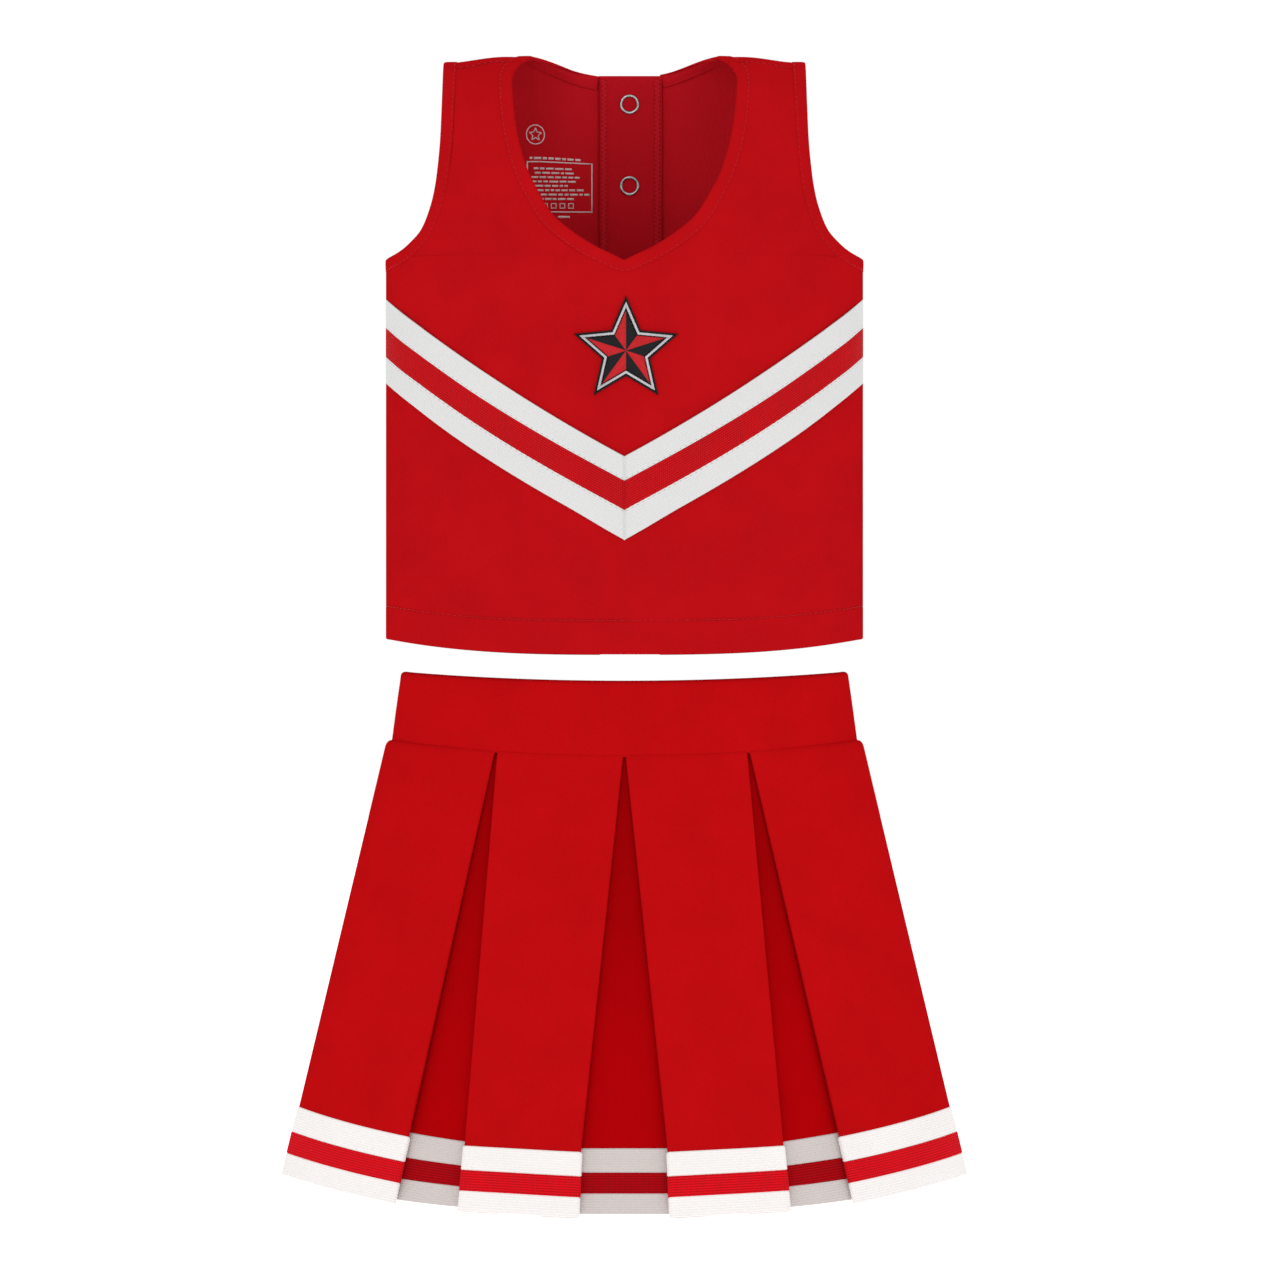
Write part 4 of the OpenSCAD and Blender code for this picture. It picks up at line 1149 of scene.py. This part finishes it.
def band_pt(q, v, d):
    """q: degrees round; v: 0 at the seam, 1 at the top edge."""
    a = 116.4 + (111.9 - 116.4) * v - d
    b = 49.9 + (46.9 - 49.9) * v - d
    x, y = a * cosd(q), b * sind(q)
    lo = seam_z(x) - 1.2
    hi = -308.0 - 4.2 * (1 - np.minimum(1, np.abs(x / a)) ** 2) - 1.7 * smooth(0.05, 0.8, sind(q))
    return np.stack([x, y, lo + (hi - lo) * v], -1)


q = np.linspace(0, 360, 241)[:-1]
v = np.linspace(0, 1, 26)
Q, V_ = np.meshgrid(q, v)
rip = (0.10 * np.sin(np.radians(Q * 37)) + 0.10 * np.sin(np.radians(Q * 61) + 1.0)) * np.sin(np.pi * V_) ** 0.7
back_side = smooth(0.2, 0.8, sind(Q))
rip = rip * (1 + 2.5 * back_side)
LAY, GAPB = 1.15, 4.85  # one layer of cloth, and the whole band with the elastic between its layers
outer, outer2 = band_pt(Q, V_, -rip), band_pt(Q, V_, LAY - rip)
inner, inner2 = band_pt(Q, V_, GAPB - rip), band_pt(Q, V_, GAPB - LAY - rip)
ctr = (outer[-1] + inner[-1]) / 2
hv = outer[-1] - ctr
up = np.array([0, 0, 1.0])


def over(r):
    """The fold over the top, r out from the band's middle."""
    return [ctr + unit(hv) * (r * math.cos(math.radians(g))) + up * (r * 0.9 * math.sin(math.radians(g))) for g in range(15, 180, 15)]


n_v = len(v)
loops = [outer[j] for j in range(n_v)] + over(GAPB / 2) + [inner[j] for j in range(n_v - 1, -1, -1)]
loops += [(inner[0] + inner2[0]) / 2 - up * 0.5]
loops += [inner2[j] for j in range(n_v)] + over(GAPB / 2 - LAY)[::-1] + [outer2[j] for j in range(n_v - 1, -1, -1)]
loops += [(outer[0] + outer2[0]) / 2 - up * 0.5]
rings = np.stack(loops, 1)  # around, section
per = np.concatenate([[0], np.cumsum(np.linalg.norm(np.diff(np.concatenate([outer[10], outer[10][:1]]), axis=0), axis=1))])
sl = np.concatenate([[0], np.cumsum(np.linalg.norm(np.diff(rings[60], axis=0), axis=1))])
uvw = np.stack(np.broadcast_arrays(per[:-1, None], sl[None, :]), -1).reshape(-1, 2) * 0.001
o = tube("waistband_cloth", rings, [M_SKIRT], True, uvw)
add(o, "skirt", "waistband", "waistband_facing", slot="skirt_knit",
    sheet=(per[-1] / 1000, (sl[-1] + 1.0) / 2000, 0.0), held="folded", rests=("waist_elastic",))
WB = o

HEM = np.array([[-170.5, -22, -555], [-113, -70, -566], [-81.5, -82.5, -568.5], [-22.2, -93.5, -571]], float)
APEX = [-118.0, -63.0, 0.0]
BUL = [20.0, 4.8]


def face_raw(k, u, v):
    u, v = np.broadcast_arrays(np.asarray(u, float), np.asarray(v, float))
    c0, c1 = math.degrees(math.acos(-APEX[k] / 118.0)), math.degrees(math.acos(-APEX[k + 1] / 118.0))
    c = c0 + (c1 - c0) * u
    x = -WP * cosd(c)
    T = np.stack([x, -DP * sind(c), seam_z(x)], -1)
    p, q_ = HEM[2 * k], HEM[2 * k + 1]
    o_ = unit(np.array([(p + q_)[0] * (0.14 if k == 0 else 0.25), (p + q_)[1], 0.0]))
    B = p + (q_ - p) * u[..., None] + o_ * (BUL[k] * u * (1 - u))[..., None]
    if k == 0:  # the tape stands a little deeper at the outer edge
        v = 1 - (1 - v) * (1 + 0.055 * (1 - u) * smooth(0.3, 0.85, v))
    if k == 1:
        v = 1 - (1 - v) * (1 - 0.04 * smooth(0.3, 0.85, v))
    P = T * (1 - v[..., None]) + B * v[..., None]
    if k == 1:  # the middle gap widens early, then runs straight down across the tape
        P[..., 0] = P[..., 0] - 1.7 * np.clip(u, 0, 1) * np.minimum(v / 0.857, np.maximum(0, 1 - v) / 0.143)
    return P


def face_n(k, u, v):
    a = face_raw(k, u, v + 0.02) - face_raw(k, u, v - 0.02)
    b = face_raw(k, u + 0.02, v) - face_raw(k, u - 0.02, v)
    return unit(np.cross(a, b))


def face_w(k, v):
    u = np.linspace(0, 1, 9)
    P = face_raw(k, u[None, :], np.asarray(v, float)[:, None])
    return np.linalg.norm(np.diff(P, axis=1), axis=-1).sum(1)


LENF = 227.8
TAPE = (12.1, 10.6, 10.3)  # white, red, white from the top
TV0 = 1 - sum(TAPE) / LENF


def vrows():
    top = np.array([0, 0.6, 1.3, 2.1, 3.0, 4.2, 6, 9]) / LENF
    return np.concatenate([top, np.linspace(13 / LENF, TV0 - 0.02, 44), np.linspace(TV0 - 0.012, 0.9935, 16)])


def roll(v):
    """The cloth tucks in under the waist seam."""
    h = np.clip(v * LENF, 0, 4.2) / 4.2
    return 3.1 * (1 - np.sqrt(np.maximum(0, 1 - (1 - h) ** 2)))


def face_profile(k, v, wdt):
    """Samples across: (along, depth, normal along, normal depth) for one row, return folds included."""
    R = (0.62 + 0.28 * v)          # fold radius of the mid-surface
    ret = 7.0 + 13.0 * v           # how far the return runs behind
    ret = min(ret, 0.46 * wdt)
    e = R + 0.9
    out = []
    for a in np.linspace(ret, e + 0.01, 9)[:-1]:
        out.append((a, 2 * R, 0.0, -1.0))
    for g in np.linspace(-90, 90, 9):
        out.append((e - R * math.cos(math.radians(g)), R - R * math.sin(math.radians(g)), -math.cos(math.radians(g)), math.sin(math.radians(g))))
    for a in np.linspace(e, wdt - e, 34)[1:-1]:
        out.append((a, 0.0, 0.0, 1.0))
    for g in np.linspace(90, -90, 9):
        out.append((wdt - e + R * math.cos(math.radians(g)), R - R * math.sin(math.radians(g)), math.cos(math.radians(g)), math.sin(math.radians(g))))
    for a in np.linspace(wdt - e - 0.01, wdt - ret, 9)[1:]:
        out.append((a, 2 * R, 0.0, -1.0))
    return np.array(out)


def face_grid(k, rows, h, seed=0.0):
    """The pleat's grid at h out from the cloth's mid-surface."""
    wds = face_w(k, rows)
    prof = np.stack([face_profile(k, float(v), float(w)) for v, w in zip(rows, wds)])
    a, d, na, nd = prof[..., 0], prof[..., 1], prof[..., 2], prof[..., 3]
    v2 = rows[:, None] + 0 * a
    hh = h if np.ndim(h) == 0 else np.asarray(h)
    al = a + na * hh
    u = al / wds[:, None]
    P = face_raw(k, u, v2)
    n = face_n(k, np.clip(u, 0.03, 0.97), v2)
    dep = d - nd * hh + 0.45 + roll(v2) * (0.32 + 0.68 * np.abs(n[..., 0]))
    uc = np.clip(u, 0, 1)
    ww = 0.55 * smooth(0.08, 1.0, v2) * np.sin(uc * np.pi) * (np.sin(uc * 5.0 + seed * 3 + v2 * 2.2) + 0.6 * np.sin(v2 * 7 + seed * 5 + uc * 3))
    return P - n * (dep - ww)[..., None]


def orient(P, mx, my):
    P = P * np.array([-1.0 if mx else 1.0, -1.0 if my else 1.0, 1.0])
    return P[:, ::-1] if mx != my else P


def tape_rows():
    cuts = np.cumsum((0,) + TAPE)
    rows, hs, mi = [], [], []
    for s in range(3):
        a, b = cuts[s], cuts[s + 1]
        n = int(round((b - a) / 0.32))
        t = np.linspace(0.05, b - a - 0.05, n)
        r_ = 0.05 * np.cos(2 * np.pi * t / 1.25)
        edge = 0.42 * (np.exp(-(t / 0.25) ** 2) + np.exp(-((b - a - t) / 0.25) ** 2))
        rows += list(a + t); hs += list(0.72 + r_ - edge + (0.08 if s == 1 else 0.0)); mi += [s % 2] * n
    rows = TV0 + np.array(rows) / LENF
    return rows, np.array(hs), np.array(mi)


TR, TH, TM = tape_rows()


def tape_mat(nr, nc, k):
    m_ = np.concatenate([[TM[0]] * k, TM, [TM[-1]] * k])
    return np.tile(m_[:nr, None], (1, nc))


VR = vrows()
FACES = [("front_1", 0, 0, 0), ("front_2", 1, 0, 0), ("front_3", 1, 1, 0), ("front_4", 0, 1, 0),
         ("back_1", 0, 0, 1), ("back_2", 1, 0, 1), ("back_3", 1, 1, 1), ("back_4", 0, 1, 1)]


def pleat(nm, kind, O, I, tO, tI, body, cad, cad_tape, seed):
    # the underlays take darker copies of the knit and the tape, painted shade
    o, info = shell(nm, O, I, [M_SKIRT if kind == "face" else M_UNDER_PAINTED_SHADE])
    t, tinfo = shell(nm + "_tape", tO, tI, [M_HWHITE, M_HRED] if kind == "face" else [M_UWHITE_PAINTED_SHADE, M_URED_PAINTED_SHADE], tape_mat, steps=(40, 70, 90), grow=0.9)
    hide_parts(cad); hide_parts(cad_tape)
    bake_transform(o)
    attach(t, body)


for i, (nm, k, mx, my) in enumerate(FACES):
    APEX[1] = -60.8 if nm in ("front_3", "front_4") else -63.0  # the gaps aren't spaced quite evenly
    O, I = face_grid(k, VR, 0.45, i * 1.3), face_grid(k, VR, -0.45, i * 1.3)
    tO = face_grid(k, TR, (0.45 + TH)[:, None], i * 1.3)
    tI = face_grid(k, TR, 0.47, i * 1.3)
    pleat("pleat_" + nm, "face", *(orient(P, mx, my) for P in (O, I, tO, tI)), "face_" + nm, "pleat_face_" + nm, "tape_face_" + nm, i)


# the pleats' underlays, set back behind the faces
def inset_grid(kind, rows, h, seed=0.0):
    out = []
    for v in rows:
        v = float(v)
        d = 2.6 + 2.9 * v + float(roll(np.array(v)))
        hw = (9 + 25 * v) if kind == 2 else (11 + 14 * v)
        c = 2.0
        w0, w1 = float(face_w(0, [v])[0]), float(face_w(1, [v])[0])

        def F(k, w, dd):
            u = np.array(w / (w0 if k == 0 else w1))
            P = face_raw(k, u, v)
            return P - face_n(k, np.clip(u, 0.03, 0.97), np.array(v)) * dd
        ws = np.linspace(hw, c, 9)
        if kind == 0:
            A = [F(0, w0 - w, d) for w in ws]; B = [F(1, w, d) for w in ws[::-1]]; bg = np.array([-0.35, -0.94, 0]) * 1.5
        elif kind == 1:
            A = [F(1, w1 - w, d) for w in ws]; B = [p * [-1, 1, 1] for p in A[::-1]]; bg = np.array([0, -1.0, 0]) * 1.0
        else:
            B = [F(0, w, d) for w in ws[::-1]]; A = [p * [1, -1, 1] for p in B[::-1]]; bg = np.array([-1.0, 0, 0]) * 0.6
        g = [A[-1] + (B[0] - A[-1]) * t + bg * v * (4 * t * (1 - t)) for t in np.linspace(0, 1, 22)[1:-1]]
        out.append(np.array(A + g + B))
    P = np.array(out)
    # soften the corners behind the faces' edges
    for _ in range(3):
        P[:, 1:-1] = 0.25 * P[:, :-2] + 0.5 * P[:, 1:-1] + 0.25 * P[:, 2:]
    n = unit(np.cross(np.gradient(P, axis=0), np.gradient(P, axis=1)))
    t = np.linspace(0, 1, P.shape[1])[None, :]
    vv = np.asarray(rows)[:, None]
    ww = 0.5 * smooth(0.1, 1.0, vv) * np.sin(np.pi * t) * np.sin(t * 6 + seed * 2.3 + vv * 3)
    hh = np.asarray(h) if np.ndim(h) else h
    return P + n * (hh + ww)[..., None]


INS = [("front_1", 0, 0, 0), ("front_2", 1, 0, 0), ("front_3", 0, 1, 0), ("side_left", 2, 0, 0),
       ("back_1", 0, 0, 1), ("back_2", 1, 0, 1), ("back_3", 0, 1, 1), ("side_right", 2, 1, 0)]
IR = VR * 0.9885
ITR = TR - 0.0105
for i, (nm, kind, mx, my) in enumerate(INS):
    APEX[1] = -60.8 if nm == "front_3" else -63.0
    O, I = inset_grid(kind, IR, 0.45, i), inset_grid(kind, IR, -0.45, i)
    tO = inset_grid(kind, ITR, (0.45 + TH)[:, None], i)
    tI = inset_grid(kind, ITR, 0.47, i)
    pleat("underlay_" + nm, "inset", *(orient(P, mx, my) for P in (O, I, tO, tI)), "inset_" + nm, "pleat_inset_" + nm, "tape_inset_" + nm, i + 20)

# ------------------------------------------------------------------ floor, light, camera
fm, nt, b = material("floor_white")
b.inputs["Base Color"].default_value = (0.9, 0.9, 0.9, 1)
b.inputs["Roughness"].default_value = 0.9
b.inputs["Specular IOR Level"].default_value = 0.0
b.inputs["Emission Color"].default_value = (1, 1, 1, 1)
b.inputs["Emission Strength"].default_value = 0.42
bpy.ops.mesh.primitive_circle_add(vertices=96, radius=14.0, fill_type="NGON", location=(0, 0, -0.745))
floor = bpy.context.object
floor.name = "floor"
floor.data.materials.append(fm)

world = bpy.data.worlds.new("studio")
bpy.context.scene.world = world
world.use_nodes = True
bg = world.node_tree.nodes["Background"]
bg.inputs[0].default_value = (1, 1, 1, 1)
bg.inputs[1].default_value = 1.0


def area_light(name, loc, size, energy, target=(0, 0, -0.3)):
    ld = bpy.data.lights.new(name, "AREA")
    ld.shape, ld.size, ld.energy = "DISK", size, energy
    lo = bpy.data.objects.new(name, ld)
    bpy.context.scene.collection.objects.link(lo)
    from mathutils import Vector
    lo.location = loc
    lo.rotation_euler = (Vector(target) - Vector(loc)).to_track_quat("-Z", "Y").to_euler()
    return lo


area_light("key", (-0.9, -2.2, 1.1), 1.3, 7.0)
area_light("fill", (1.6, -1.8, 0.5), 1.6, 3.0)
area_light("back", (0.6, 2.2, 1.2), 1.6, 6.0)

cd = bpy.data.cameras.new("camera")
cd.lens, cd.sensor_width = 36.0 * 3.5 / 0.6325, 36.0
cd.clip_start, cd.clip_end = 0.05, 100
cam = bpy.data.objects.new("camera", cd)
bpy.context.scene.collection.objects.link(cam)
cam.location = (0.004, -3.5, -0.28625)
cam.rotation_euler = (math.radians(90), 0, 0)
bpy.context.scene.camera = cam
vs = bpy.context.scene.view_settings
vs.view_transform, vs.look, vs.exposure, vs.gamma = "Standard", "None", 0.0, 1.0
